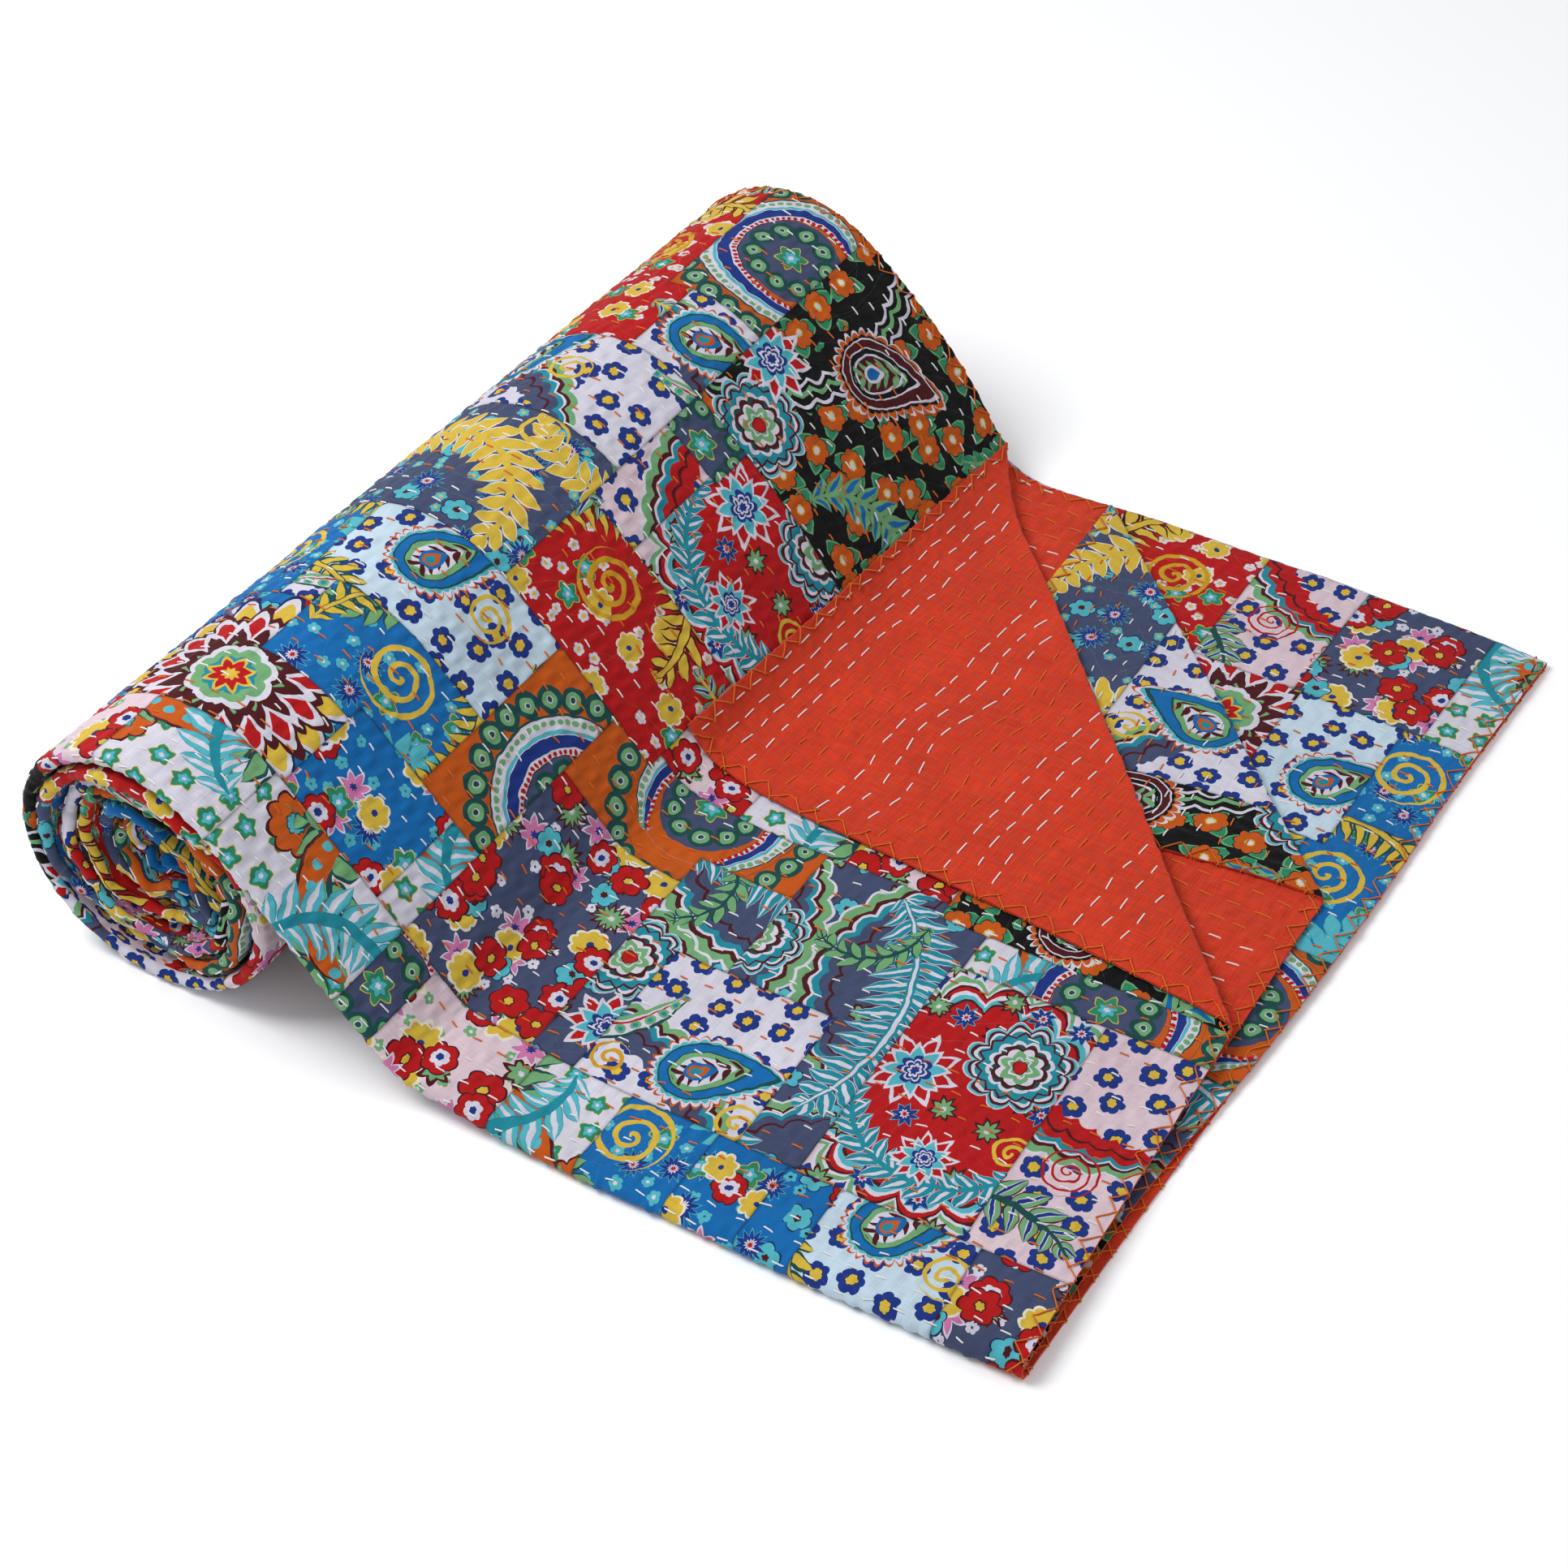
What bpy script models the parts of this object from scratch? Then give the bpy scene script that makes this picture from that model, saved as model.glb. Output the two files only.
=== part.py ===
"""Kantha quilt: one quilted cloth folded in four across its width and rolled up from its far end.

X runs along the folded strip, from the roll to the loose end, Y across it, from the front folds to the back
edges, and Z up. The quilt rests on Z = 0 with the middle of its outline over the origin.
"""

import math

import bmesh
import bpy
import numpy as np

# Sizes are in metres and angles in degrees unless a name says otherwise.
STRIP_WIDTH = 0.570
CLOTH_THICKNESS = 0.0016
LEVEL_FLAT = 0.0023  # from one layer to the next where the strip lies loose
LEVEL_ROLLED = 0.0020  # from one layer to the next where it is wound
STRIP_THICKNESS = 3 * LEVEL_ROLLED + CLOTH_THICKNESS

# Where each layer lies in the strip, as levels counted from the underside. The loose end holds one level
# more, because the turned-back corner of the second layer lies under the top one.
LEVELS_FLAT = {"top": 4, "second": 2, "third": 1, "bottom": 0}
LEVELS_ROLLED = {"top": 3, "second": 2, "third": 1, "bottom": 0}
CLOSES_UP_AT = 0.27  # length from the loose end at which the layers begin to close up towards the roll

# The roll is a spiral about a line that runs slightly askew across the strip. The table gives the radius of
# its outermost turn by the angle past its top, towards the far side from the loose end.
ROLL_PITCH = 0.0086
OUTER_TURN = {
    "angle": (-45, 0, 50, 90, 130, 160, 180, 205, 240, 275),
    "radius": (0.0732, 0.0728, 0.0722, 0.0722, 0.0707, 0.0684, 0.0676, 0.0688, 0.0706, 0.0696),
}
ROLL_MIDDLE = 0.0676  # height of the middle of the roll
ROLL_SKEW = 0.0165  # how far the middle moves along X from front to back
ROLL_TURNS = 6.9
ROLL_STEP = 10  # of one facet
ROLL_RECESS = 0.012  # how deep the innermost turn lies inside the outer one
BAND_MARGIN = 0.00012  # the wound band is this much thicker than the layers whose ends it takes in
LAYERS_REACH = 100  # how far past the top of the roll the layers are built apart

# The way down from the roll to the floor: the strip leaves the roll at one slope and reaches another, bends
# to a low ramp, and levels out. The first value holds at the front of the strip and the second at the back.
SLOPE_AT_ROLL = (45.5, 38.0)
SLOPE_AT_BEND = (46.0, 58.0)
SLOPE_OF_RAMP = (12.0, 12.0)
BEND_RADIUS = (0.030, 0.060)
RAMP_RADIUS = (0.450, 0.060)

# How far along X each layer's free end reaches from the middle of the roll, by distance from the front.
FREE_ENDS = {
    "distance": (0.000, 0.110, 0.230, 0.340, 0.460, 0.570),
    "top": (0.4750, 0.4690, 0.4640, 0.4590, 0.4580, 0.4570),
    "second": (0.4620, 0.4620, 0.4640, 0.4620, 0.4720, 0.4800),
    "third": (0.4735, 0.4715, 0.4800, 0.4832, 0.4822, 0.4845),
    "bottom": (0.4750, 0.4758, 0.4780, 0.4812, 0.4818, 0.4845),
}
FARTHEST = 0.486

# How far the front folds and the back edges stray from straight, by length from the loose end.
STRAY = {
    "length": (0.000, 0.040, 0.090, 0.140, 0.190, 0.240, 0.275, 0.305, 0.345, 0.400, 0.470, 0.560),
    "front": (0.004, 0.002, 0.000, -0.001, -0.001, -0.002, -0.002, -0.002, -0.003, -0.003, -0.002, 0.000),
    "back": (0.001, 0.004, 0.005, 0.005, 0.004, 0.003, 0.000, -0.002, -0.002, 0.000, 0.000, 0.000),
}

# The turned-back corners: X and Y of two points of each crease, its back end first.
CREASES = {
    "top": ((0.1425, 0.5700), (0.4505, 0.2397)),
    "second": ((0.2175, 0.5700), (0.4601, 0.3351)),
}
CREASE_RADIUS = {"top": 0.0015, "second": LEVEL_FLAT / 2}
CREASE_FACETS = 5
CUT_SNAP = 0.0005  # a cut through the flat cloth takes in corners this close to it

# The loose end is a little fuller in places, where its layers don't lie close.
FULLNESS = 0.30
FULL_REACH = 0.16
FULL_SPACING = 0.24

# Rows of the cloth's faces along the strip, as shares of each part of its line or as angles on the roll.
ROWS = (
    [("flat", share) for share in (0, 0.12, 0.28, 0.48, 0.74)]
    + [("ramp", share) for share in (0, 0.34, 0.67)]
    + [("bend", share) for share in (0, 0.17, 0.33, 0.5, 0.67, 0.83)]
    + [("climb", share) for share in (0, 0.2, 0.4, 0.6, 0.8, 1)]
    + [("roll", angle) for angle in range(-30, LAYERS_REACH + 1, ROLL_STEP)]
)
LAYER_FACETS = 6
OUTER_FOLD_FACETS = 8
INNER_FOLD_FACETS = 5


def curve_through(at, values, x):
    """A smooth curve through a table's points, its slope at each one set by the neighbours."""
    at, values = np.asarray(at, float), np.asarray(values, float)
    slopes = np.gradient(values, at)
    k = np.clip(np.searchsorted(at, x, side="right") - 1, 0, len(at) - 2)
    step = at[k + 1] - at[k]
    t = (x - at[k]) / step
    start = (2 * t**3 - 3 * t**2 + 1) * values[k] + (t**3 - 2 * t**2 + t) * step * slopes[k]
    return start + (3 * t**2 - 2 * t**3) * values[k + 1] + (t**3 - t**2) * step * slopes[k + 1]


def across(pair, y):
    """A value that changes evenly from the front to the back of the strip."""
    return pair[0] + (pair[1] - pair[0]) * y / STRIP_WIDTH


def wound_radius(turned):
    """Radius of the strip's outer face, turned radians past the top of the roll."""
    first = OUTER_TURN["angle"][0]
    degrees = np.degrees(turned)
    turn = np.floor((degrees - first) / 360)
    angles = OUTER_TURN["angle"]
    radii = OUTER_TURN["radius"]
    at = [angles[-1] - 360, *angles, first + 360, angles[1] + 360]
    values = [radii[-1] + ROLL_PITCH, *radii, radii[0] - ROLL_PITCH, radii[1] - ROLL_PITCH]
    return curve_through(at, values, degrees - 360 * turn) - ROLL_PITCH * turn


def arc(length, start, end, whole):
    """X and Z travelled along an arc whose slope goes from start to end over its whole, and the slope."""
    turn = (end - start) * length / whole
    chord = length * np.sinc(turn / (2 * math.pi))
    return -chord * np.cos(start + turn / 2), chord * np.sin(start + turn / 2), start + turn


def line_of(y):
    """The strip's underside at distance y from the front, as arcs from the loose end up to the roll."""
    at_roll, at_bend = np.radians(across(SLOPE_AT_ROLL, y)), np.radians(across(SLOPE_AT_BEND, y))
    low = np.radians(across(SLOPE_OF_RAMP, y))
    ramp, bend = across(RAMP_RADIUS, y) * low, across(BEND_RADIUS, y) * (at_bend - low)
    ramp_x, ramp_z, _ = arc(ramp, 0 * low, low, ramp)
    bend_x, bend_z, _ = arc(bend, low, at_bend, bend)
    inner = wound_radius(-at_roll) - STRIP_THICKNESS
    middle = across((0, ROLL_SKEW), y)
    rise = ROLL_MIDDLE + inner * np.cos(at_roll) - ramp_z - bend_z
    climb = rise / (np.sinc((at_roll - at_bend) / (2 * math.pi)) * np.sin((at_roll + at_bend) / 2))
    climb_x, _, _ = arc(climb, at_bend, at_roll, climb)
    foot = middle + inner * np.sin(at_roll) - ramp_x - bend_x - climb_x
    flat = FARTHEST - foot
    return {
        "middle": middle, "at_roll": at_roll,
        "parts": (
            ("ramp", ramp, 0 * low, low),
            ("bend", bend, low, at_bend),
            ("climb", climb, at_bend, at_roll),
        ),
        "starts": {
            "ramp": flat,
            "bend": flat + ramp,
            "climb": flat + ramp + bend,
            "roll": flat + ramp + bend + climb,
        },
    }


def place(along, y, height):
    """Points of the strip, from length along it, distance across it and height over its underside."""
    line = line_of(y)
    x = FARTHEST - np.minimum(along, line["starts"]["ramp"])
    z = np.zeros_like(x)
    slope = np.zeros_like(x)
    for name, whole, start, end in line["parts"]:
        length = np.clip(along - line["starts"][name], 0, whole)
        step_x, step_z, reached = arc(length, start, end, whole)
        x, z = x + step_x, z + step_z
        slope = np.where(length > 0, reached, slope)
    # On the roll the length is counted along its middle radius.
    turned = (along - line["starts"]["roll"]) / OUTER_TURN["radius"][0] - line["at_roll"]
    on_roll = along > line["starts"]["roll"]
    inner = wound_radius(turned) - STRIP_THICKNESS
    x = np.where(on_roll, line["middle"] - inner * np.sin(turned), x)
    z = np.where(on_roll, ROLL_MIDDLE + inner * np.cos(turned), z)
    slope = np.where(on_roll, -turned, slope)
    reach = np.minimum(along, STRAY["length"][-1])
    front, back = (curve_through(STRAY["length"], STRAY[side], reach) for side in ("front", "back"))
    strayed = y + front * (1 - y / STRIP_WIDTH) + back * y / STRIP_WIDTH
    return np.stack([x + height * np.sin(slope), strayed, z + height * np.cos(slope)], axis=1)


def level_height(layer, along, y):
    """Height of a layer's middle over the strip's underside."""
    share = np.clip((along - CLOSES_UP_AT) / (line_of(y)["starts"]["roll"] - CLOSES_UP_AT), 0, 1)
    loose = 1 - share * share * (3 - 2 * share)
    swell = 0.5 + 0.5 * np.sin(2 * math.pi * y / FULL_SPACING + 0.6)
    flat = LEVELS_FLAT[layer] * LEVEL_FLAT * (1 + FULLNESS * np.clip(1 - along / FULL_REACH, 0, 1) * swell)
    wound = LEVELS_ROLLED[layer] * LEVEL_ROLLED
    return CLOTH_THICKNESS / 2 + loose * flat + (1 - loose) * wound


# The section across the strip runs back and forth, from the top layer's back edge to the second layer's.
# Each fold keeps its outermost line where it is as its layers close up, and layers run to the fold's middle.
def fold_reach(lower, upper):
    return (LEVELS_FLAT[upper] - LEVELS_FLAT[lower]) * LEVEL_FLAT / 2


OUTER_RIM = CLOTH_THICKNESS / 2
INNER_RIM = 2 * CLOTH_THICKNESS
BACK_RIM = STRIP_WIDTH - CLOTH_THICKNESS / 2
SECOND_EDGE = 0.565
LAYER_ENDS = {
    "top": (STRIP_WIDTH, OUTER_RIM + fold_reach("bottom", "top")),
    "bottom": (OUTER_RIM + fold_reach("bottom", "top"), BACK_RIM - fold_reach("bottom", "third")),
    "third": (BACK_RIM - fold_reach("bottom", "third"), INNER_RIM + fold_reach("third", "second")),
    "second": (INNER_RIM + fold_reach("third", "second"), SECOND_EDGE),
}
SECTION = [
    # layer, layer that it folds into, where the fold's outermost line lies, facets
    ("top", None, None, LAYER_FACETS),
    ("top", "bottom", OUTER_RIM, OUTER_FOLD_FACETS),
    ("bottom", None, None, LAYER_FACETS),
    ("bottom", "third", BACK_RIM, INNER_FOLD_FACETS),
    ("third", None, None, LAYER_FACETS),
    ("third", "second", INNER_RIM, INNER_FOLD_FACETS),
    ("second", None, None, LAYER_FACETS),
]


def stretch_length(layer, following):
    if following is None:
        return abs(LAYER_ENDS[layer][1] - LAYER_ENDS[layer][0])
    return math.pi * abs(fold_reach(layer, following))


STARTS = np.cumsum([0.0] + [stretch_length(layer, following) for layer, following, _, _ in SECTION])


def section_point(stretch, share, along):
    """Distance from the front and height over the underside, for a share of one stretch of the section."""
    layer, following, rim, _ = stretch
    start, end = LAYER_ENDS[layer]
    if following is None:
        y = start + (end - start) * share
        return y, level_height(layer, along, y)
    ends = np.full_like(along, end)
    here, there = level_height(layer, along, ends), level_height(following, along, ends)
    radius = (here - there) / 2
    inward = 1 if rim < STRIP_WIDTH / 2 else -1
    y = rim + inward * np.abs(radius) * (1 - np.sin(math.pi * share))
    return y, (here + there) / 2 + radius * np.cos(math.pi * share)


def crease_of(layer):
    """A point of the crease, the direction from it to the corner that it turns back, and its radius."""
    back, front = (np.array(p) for p in CREASES[layer])
    way = (front - back) / np.linalg.norm(front - back)
    return back, np.array([-way[1], way[0]]), CREASE_RADIUS[layer]


def turn_back(layer, along, y, height):
    """Carries what lies beyond the crease over it, onto the top of its own layer."""
    origin, beyond, radius = crease_of(layer)
    x = FARTHEST - along
    past = (x - origin[0]) * beyond[0] + (y - origin[1]) * beyond[1]
    angle = np.clip(past / radius, 0, math.pi)
    target = radius * np.sin(angle) - np.maximum(past - math.pi * radius, 0)
    move = np.where(past > 0, target - past, 0)
    new_along, new_y = along - move * beyond[0], y + move * beyond[1]
    lifted = level_height(layer, new_along, new_y) + radius * (1 - np.cos(angle))
    return new_along, new_y, np.where(past > 0, lifted, height)


def row_length(row, layer, y):
    """Length along the strip at which a row of faces lies, at distance y from the front."""
    kind, value = row
    starts = line_of(y)["starts"]
    if kind == "flat":
        end = FARTHEST - curve_through(FREE_ENDS["distance"], FREE_ENDS[layer], y)
        return end + value * (starts["ramp"] - end)
    if kind == "roll":
        return starts["roll"] + (math.radians(value) + line_of(y)["at_roll"]) * OUTER_TURN["radius"][0]
    following = {"ramp": "bend", "bend": "climb", "climb": "roll"}[kind]
    return starts[kind] + value * (starts[following] - starts[kind])


def cloth_way(layer, y):
    """Way along the section of the flat cloth at which a layer lies at distance y from the front."""
    number = [row[:2] for row in SECTION].index((layer, None))
    return STARTS[number] + abs(y - LAYER_ENDS[layer][0])


def cut_row(bm, layer, points, beyond_only=False):
    """Adds a row of edges to one layer of the flat cloth, through two points given as X and Y."""
    low, high = sorted(cloth_way(layer, y) for y in LAYER_ENDS[layer])
    faces = [f for f in bm.faces if low < f.calc_center_median().y < high]
    flat = [np.array([FARTHEST - x, cloth_way(layer, y)]) for x, y in points]
    if beyond_only:
        origin, beyond, radius = crease_of(layer)
        turn = 1 if LAYER_ENDS[layer][1] > LAYER_ENDS[layer][0] else -1
        centres = np.array([f.calc_center_median()[:2] for f in faces])
        x, y = FARTHEST - centres[:, 0], LAYER_ENDS[layer][0] + turn * (centres[:, 1] - low)
        past = (x - origin[0]) * beyond[0] + (y - origin[1]) * beyond[1]
        faces = [f for f, distance in zip(faces, past) if distance > math.pi * radius]
    edges = {e for f in faces for e in f.edges}
    verts = {v for f in faces for v in f.verts}
    way = flat[1] - flat[0]
    across_cut = (-way[1], way[0], 0)
    bmesh.ops.bisect_plane(
        bm, geom=[*verts, *edges, *faces], dist=CUT_SNAP, plane_co=(*flat[0], 0), plane_no=across_cut
    )


def flat_cloth():
    """The cloth's middle surface spread flat: X is length along the strip, Y the way along the section."""
    bm = bmesh.new()
    columns = []
    for k, (layer, following, _, facets) in enumerate(SECTION):
        start, end = LAYER_ENDS[layer]
        length = stretch_length(layer, following)
        for facet in range(facets + (k == len(SECTION) - 1)):
            share = facet / facets
            y = np.array([end if following else start + (end - start) * share])
            way = STARTS[k] + share * length
            columns.append([bm.verts.new((row_length(row, layer, y)[0], way, 0)) for row in ROWS])
    for left, right in zip(columns, columns[1:]):
        for k in range(len(ROWS) - 1):
            bm.faces.new((left[k], right[k], right[k + 1], left[k + 1]))
    # A crease gets rows of its own, so that it bends evenly.
    for layer in CREASES:
        _, beyond, radius = crease_of(layer)
        for facet in range(CREASE_FACETS + 1):
            offset = beyond * math.pi * radius * facet / CREASE_FACETS
            cut_row(bm, layer, [np.array(p) + offset for p in CREASES[layer]])
    # The top layer's corner lies on the bend at the foot of the roll, so it bends along the same rows.
    origin, beyond, radius = crease_of("top")
    for row in ROWS:
        if row[0] in ("ramp", "bend", "climb"):
            unfolded = []
            for y in (0.26, 0.52):
                point = np.array([FARTHEST - row_length(row, "top", np.array([y]))[0], y])
                inside = (origin - point) @ beyond
                unfolded.append(point + (2 * inside + math.pi * radius) * beyond)
            cut_row(bm, "top", unfolded, beyond_only=True)
    return bm


def folded_cloth():
    """The cloth's middle surface, folded back and forth, with its corners turned back, laid and wound."""
    bm = flat_cloth()
    flat = np.array([v.co[:2] for v in bm.verts])
    along, way = flat[:, 0], flat[:, 1]
    points = np.zeros((len(flat), 3))
    number = np.clip(np.searchsorted(STARTS, way + 1e-7, side="right") - 1, 0, len(SECTION) - 1)
    for k, stretch in enumerate(SECTION):
        layer, following, _, _ = stretch
        chosen = number == k
        reach = along[chosen]
        share = (way[chosen] - STARTS[k]) / (STARTS[k + 1] - STARTS[k])
        y, height = section_point(stretch, share, reach)
        if following is None and layer in CREASES:
            reach, y, height = turn_back(layer, reach, y, height)
        points[chosen] = place(reach, y, height)
    for vertex, point in zip(bm.verts, points):
        vertex.co = point
    bmesh.ops.recalc_face_normals(bm, faces=bm.faces)
    return bm


def wound_band():
    """The rest of the strip, wound to the core as one band with a rounded front edge."""
    bm = bmesh.new()
    last = ROLL_TURNS * 360
    rings = []
    for degrees in np.arange(LAYERS_REACH - ROLL_STEP, last + 0.001, ROLL_STEP):
        turned = math.radians(degrees)
        outer = float(wound_radius(turned)) + BAND_MARGIN
        inner = outer - STRIP_THICKNESS - 2 * BAND_MARGIN
        half = (outer - inner) / 2
        recess = ROLL_RECESS * max(0, (degrees - 130) / (last - 130)) ** 1.5
        front, back = recess - BAND_MARGIN, STRIP_WIDTH + BAND_MARGIN - 0.7 * recess
        outline = [
            (front + half * (1 - math.sin(a)), inner + half * (1 - math.cos(a)))
            for a in np.linspace(0, math.pi, 6)
        ]
        outline += [(back - half / 3, outer), (back, (outer + inner) / 2), (back - half / 3, inner)]
        rings.append(
            [
                bm.verts.new(
                    (across((0, ROLL_SKEW), y) - r * math.sin(turned), y, ROLL_MIDDLE + r * math.cos(turned))
                )
                for y, r in outline
            ]
        )
    for ring, following in zip(rings, rings[1:]):
        for k in range(len(ring)):
            j = (k + 1) % len(ring)
            bm.faces.new((ring[k], ring[j], following[j], following[k]))
    bm.faces.new(rings[0])
    bm.faces.new(rings[-1])
    bmesh.ops.recalc_face_normals(bm, faces=bm.faces)
    return bm


def add_object(name, bm):
    mesh = bpy.data.meshes.new(name)
    bm.to_mesh(mesh)
    bm.free()
    made = bpy.data.objects.new(name, mesh)
    bpy.context.scene.collection.objects.link(made)
    return made


def printed_cotton():
    material = bpy.data.materials.new("printed_cotton")
    material.use_nodes = True
    shader = material.node_tree.nodes["Principled BSDF"]
    shader.inputs["Base Color"].default_value = (0.30, 0.20, 0.24, 1)
    shader.inputs["Roughness"].default_value = 0.85
    shader.inputs["Metallic"].default_value = 0.0
    return material


for old in list(bpy.data.objects):
    bpy.data.objects.remove(old)

quilt = add_object("quilt", folded_cloth())
quilt.data.materials.append(printed_cotton())
band = add_object("wound_band", wound_band())
band.hide_render = True
band.display_type = "WIRE"

thicken = quilt.modifiers.new("cloth_thickness", "SOLIDIFY")
thicken.thickness = CLOTH_THICKNESS
thicken.offset = 0

join = quilt.modifiers.new("wound_end", "BOOLEAN")
join.operation = "UNION"
join.solver = "EXACT"
join.object = band

# The finished cloth moves so that the middle of its outline's foot is the origin.
finished = quilt.evaluated_get(bpy.context.evaluated_depsgraph_get())
corners = np.array([v.co for v in finished.to_mesh().vertices])
finished.to_mesh_clear()
low, high = corners.min(axis=0), corners.max(axis=0)
shift = (-(low[0] + high[0]) / 2, -(low[1] + high[1]) / 2, -low[2])
quilt.location = shift
band.location = shift
print("quilt spans", np.round(high - low, 4), "and moved by", np.round(shift, 4))
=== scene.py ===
# %% [markdown]
# # A kantha quilt, folded in four and rolled up
# A kantha quilt is a few layers of thin cotton held together by rows of running stitch. This one has a patchwork
# of printed cotton on its face and plain terracotta cotton on its reverse. It is folded in four across its width,
# the strip is rolled up from its far end, and two corners of the loose end are turned back to show the reverse.
#
# The solid model of the quilt comes first, as a fixed frame. Everything below is built in the same metres.

import math

import bpy
import numpy as np
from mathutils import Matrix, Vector


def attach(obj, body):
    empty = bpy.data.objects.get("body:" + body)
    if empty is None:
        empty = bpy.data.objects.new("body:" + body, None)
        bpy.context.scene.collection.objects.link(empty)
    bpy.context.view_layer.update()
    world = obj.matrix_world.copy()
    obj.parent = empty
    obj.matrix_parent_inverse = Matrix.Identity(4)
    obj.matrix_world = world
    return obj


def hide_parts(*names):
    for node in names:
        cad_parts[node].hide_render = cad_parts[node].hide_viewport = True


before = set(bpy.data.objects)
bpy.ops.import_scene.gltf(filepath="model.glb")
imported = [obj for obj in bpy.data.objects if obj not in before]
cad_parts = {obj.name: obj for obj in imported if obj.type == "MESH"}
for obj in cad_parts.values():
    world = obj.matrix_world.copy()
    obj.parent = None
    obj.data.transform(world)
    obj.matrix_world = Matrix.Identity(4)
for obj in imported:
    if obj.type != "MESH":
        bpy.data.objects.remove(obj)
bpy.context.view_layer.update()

# %% [markdown]
# ## How the strip lies
# Quilted cloth bends but hardly stretches, so each point of it can be given by two lengths measured on the flat
# cloth: how far it is from the loose end, and how far across the cloth. The functions below carry those lengths
# to their place in the room. That is why the patches, the stitches and the thread all stay on the cloth.
#
# The sizes are those of the solid model. X runs from the roll to the loose end, Y from the front folds to the
# back edges.

# %% Sizes of the folded strip, in metres and degrees
STRIP_WIDTH = 0.570
THICKNESS = 0.0016
LEVEL_FLAT = 0.0023
LEVEL_ROLLED = 0.0020
STRIP_THICKNESS = 3 * LEVEL_ROLLED + THICKNESS
LEVELS_FLAT = {"top": 4, "second": 2, "third": 1, "bottom": 0}
LEVELS_ROLLED = {"top": 3, "second": 2, "third": 1, "bottom": 0}
CLOSES_UP_AT = 0.27
FARTHEST = 0.486
ORIGIN = (-0.2062, -0.2859, 0.0001)  # of the sizes here, as the frame has it

ROLL_PITCH = 0.0086
ROLL_ANGLES = (-45, 0, 50, 90, 130, 160, 180, 205, 240, 275)
ROLL_RADII = (0.0732, 0.0728, 0.0722, 0.0722, 0.0707, 0.0684, 0.0676, 0.0688, 0.0706, 0.0696)
ROLL_OUTSIDE = 0.0712  # radius that lengths are counted at on the outermost turn
ROLL_MIDDLE = 0.0676
ROLL_SKEW = 0.0165
ROLL_TURNS = 6.9
ROLL_RECESS = 0.018
LEAN = 52  # direction, in degrees up from X, that the loose inner turns are pressed in along
PRESS_A_TURN, MOST_PRESS = 0.07, 0.38  # shares of the radius
WANDER, WANDER_AT_END, CRUMPLE_A_TURN = 0.0006, 0.0012, 0.0009
NEAR_END = 0.05  # how far in from the roll's ends its turns are looser

SLOPE_AT_ROLL = (45.5, 38.0)  # the first value is for the front of the strip, the second for its back
SLOPE_AT_BEND = (46.0, 58.0)
SLOPE_OF_RAMP = (12.0, 12.0)
BEND_RADIUS = (0.030, 0.060)
RAMP_RADIUS = (0.450, 0.060)

END_DISTANCES = (0.000, 0.110, 0.230, 0.340, 0.460, 0.570)
END_REACH = {
    "top": (0.4750, 0.4690, 0.4640, 0.4590, 0.4580, 0.4570),
    "second": (0.4620, 0.4620, 0.4640, 0.4620, 0.4720, 0.4800),
    "third": (0.4735, 0.4715, 0.4800, 0.4832, 0.4822, 0.4845),
    "bottom": (0.4750, 0.4758, 0.4780, 0.4812, 0.4818, 0.4845),
}
STRAY_LENGTHS = (0.000, 0.040, 0.090, 0.140, 0.190, 0.240, 0.275, 0.305, 0.345, 0.400, 0.470, 0.560)
STRAY_FRONT = (0.004, 0.002, 0.000, -0.001, -0.001, -0.002, -0.002, -0.002, -0.003, -0.003, -0.002, 0.000)
STRAY_BACK = (0.001, 0.004, 0.005, 0.005, 0.004, 0.003, 0.000, -0.002, -0.002, 0.000, 0.000, 0.000)

CREASES = {  # two points of each crease, as X and Y, and the radius that it bends at
    "top": ((0.1425, 0.5700), (0.4505, 0.2397), 0.0015),
    "second": ((0.2175, 0.5700), (0.4601, 0.3351), LEVEL_FLAT / 2),
}


# %% Smooth curves through short tables
def curve_through(at, values, x):
    """Cubic pieces through a table's points: each piece meets its neighbours with the same slope, which is the
    slope of the line from the point before to the point after."""
    at, values = np.asarray(at, float), np.asarray(values, float)
    slopes = np.gradient(values, at)
    k = np.clip(np.searchsorted(at, x, side="right") - 1, 0, len(at) - 2)
    step = at[k + 1] - at[k]
    t = (x - at[k]) / step
    start = (2 * t**3 - 3 * t**2 + 1) * values[k] + (t**3 - 2 * t**2 + t) * step * slopes[k]
    return start + (3 * t**2 - 2 * t**3) * values[k + 1] + (t**3 - t**2) * step * slopes[k + 1]


def smooth(t):
    """3 t^2 - 2 t^3, which leaves 0 and reaches 1 without a corner."""
    return t * t * (3 - 2 * t)


def across(pair, y):
    """Even change from the front of the strip to its back."""
    return pair[0] + (pair[1] - pair[0]) * y / STRIP_WIDTH


def wound_radius(turned):
    """Radius of the strip's outer face, by the angle turned past the top of the roll, in radians: the table's
    radius at that angle, less one pitch for each whole turn."""
    first = ROLL_ANGLES[0]
    degrees = np.degrees(turned)
    turn = np.floor((degrees - first) / 360)
    at = [ROLL_ANGLES[-1] - 360, *ROLL_ANGLES, first + 360, ROLL_ANGLES[1] + 360]
    values = [ROLL_RADII[-1] + ROLL_PITCH, *ROLL_RADII, ROLL_RADII[0] - ROLL_PITCH, ROLL_RADII[1] - ROLL_PITCH]
    return curve_through(at, values, degrees - 360 * turn) - ROLL_PITCH * turn


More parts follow.
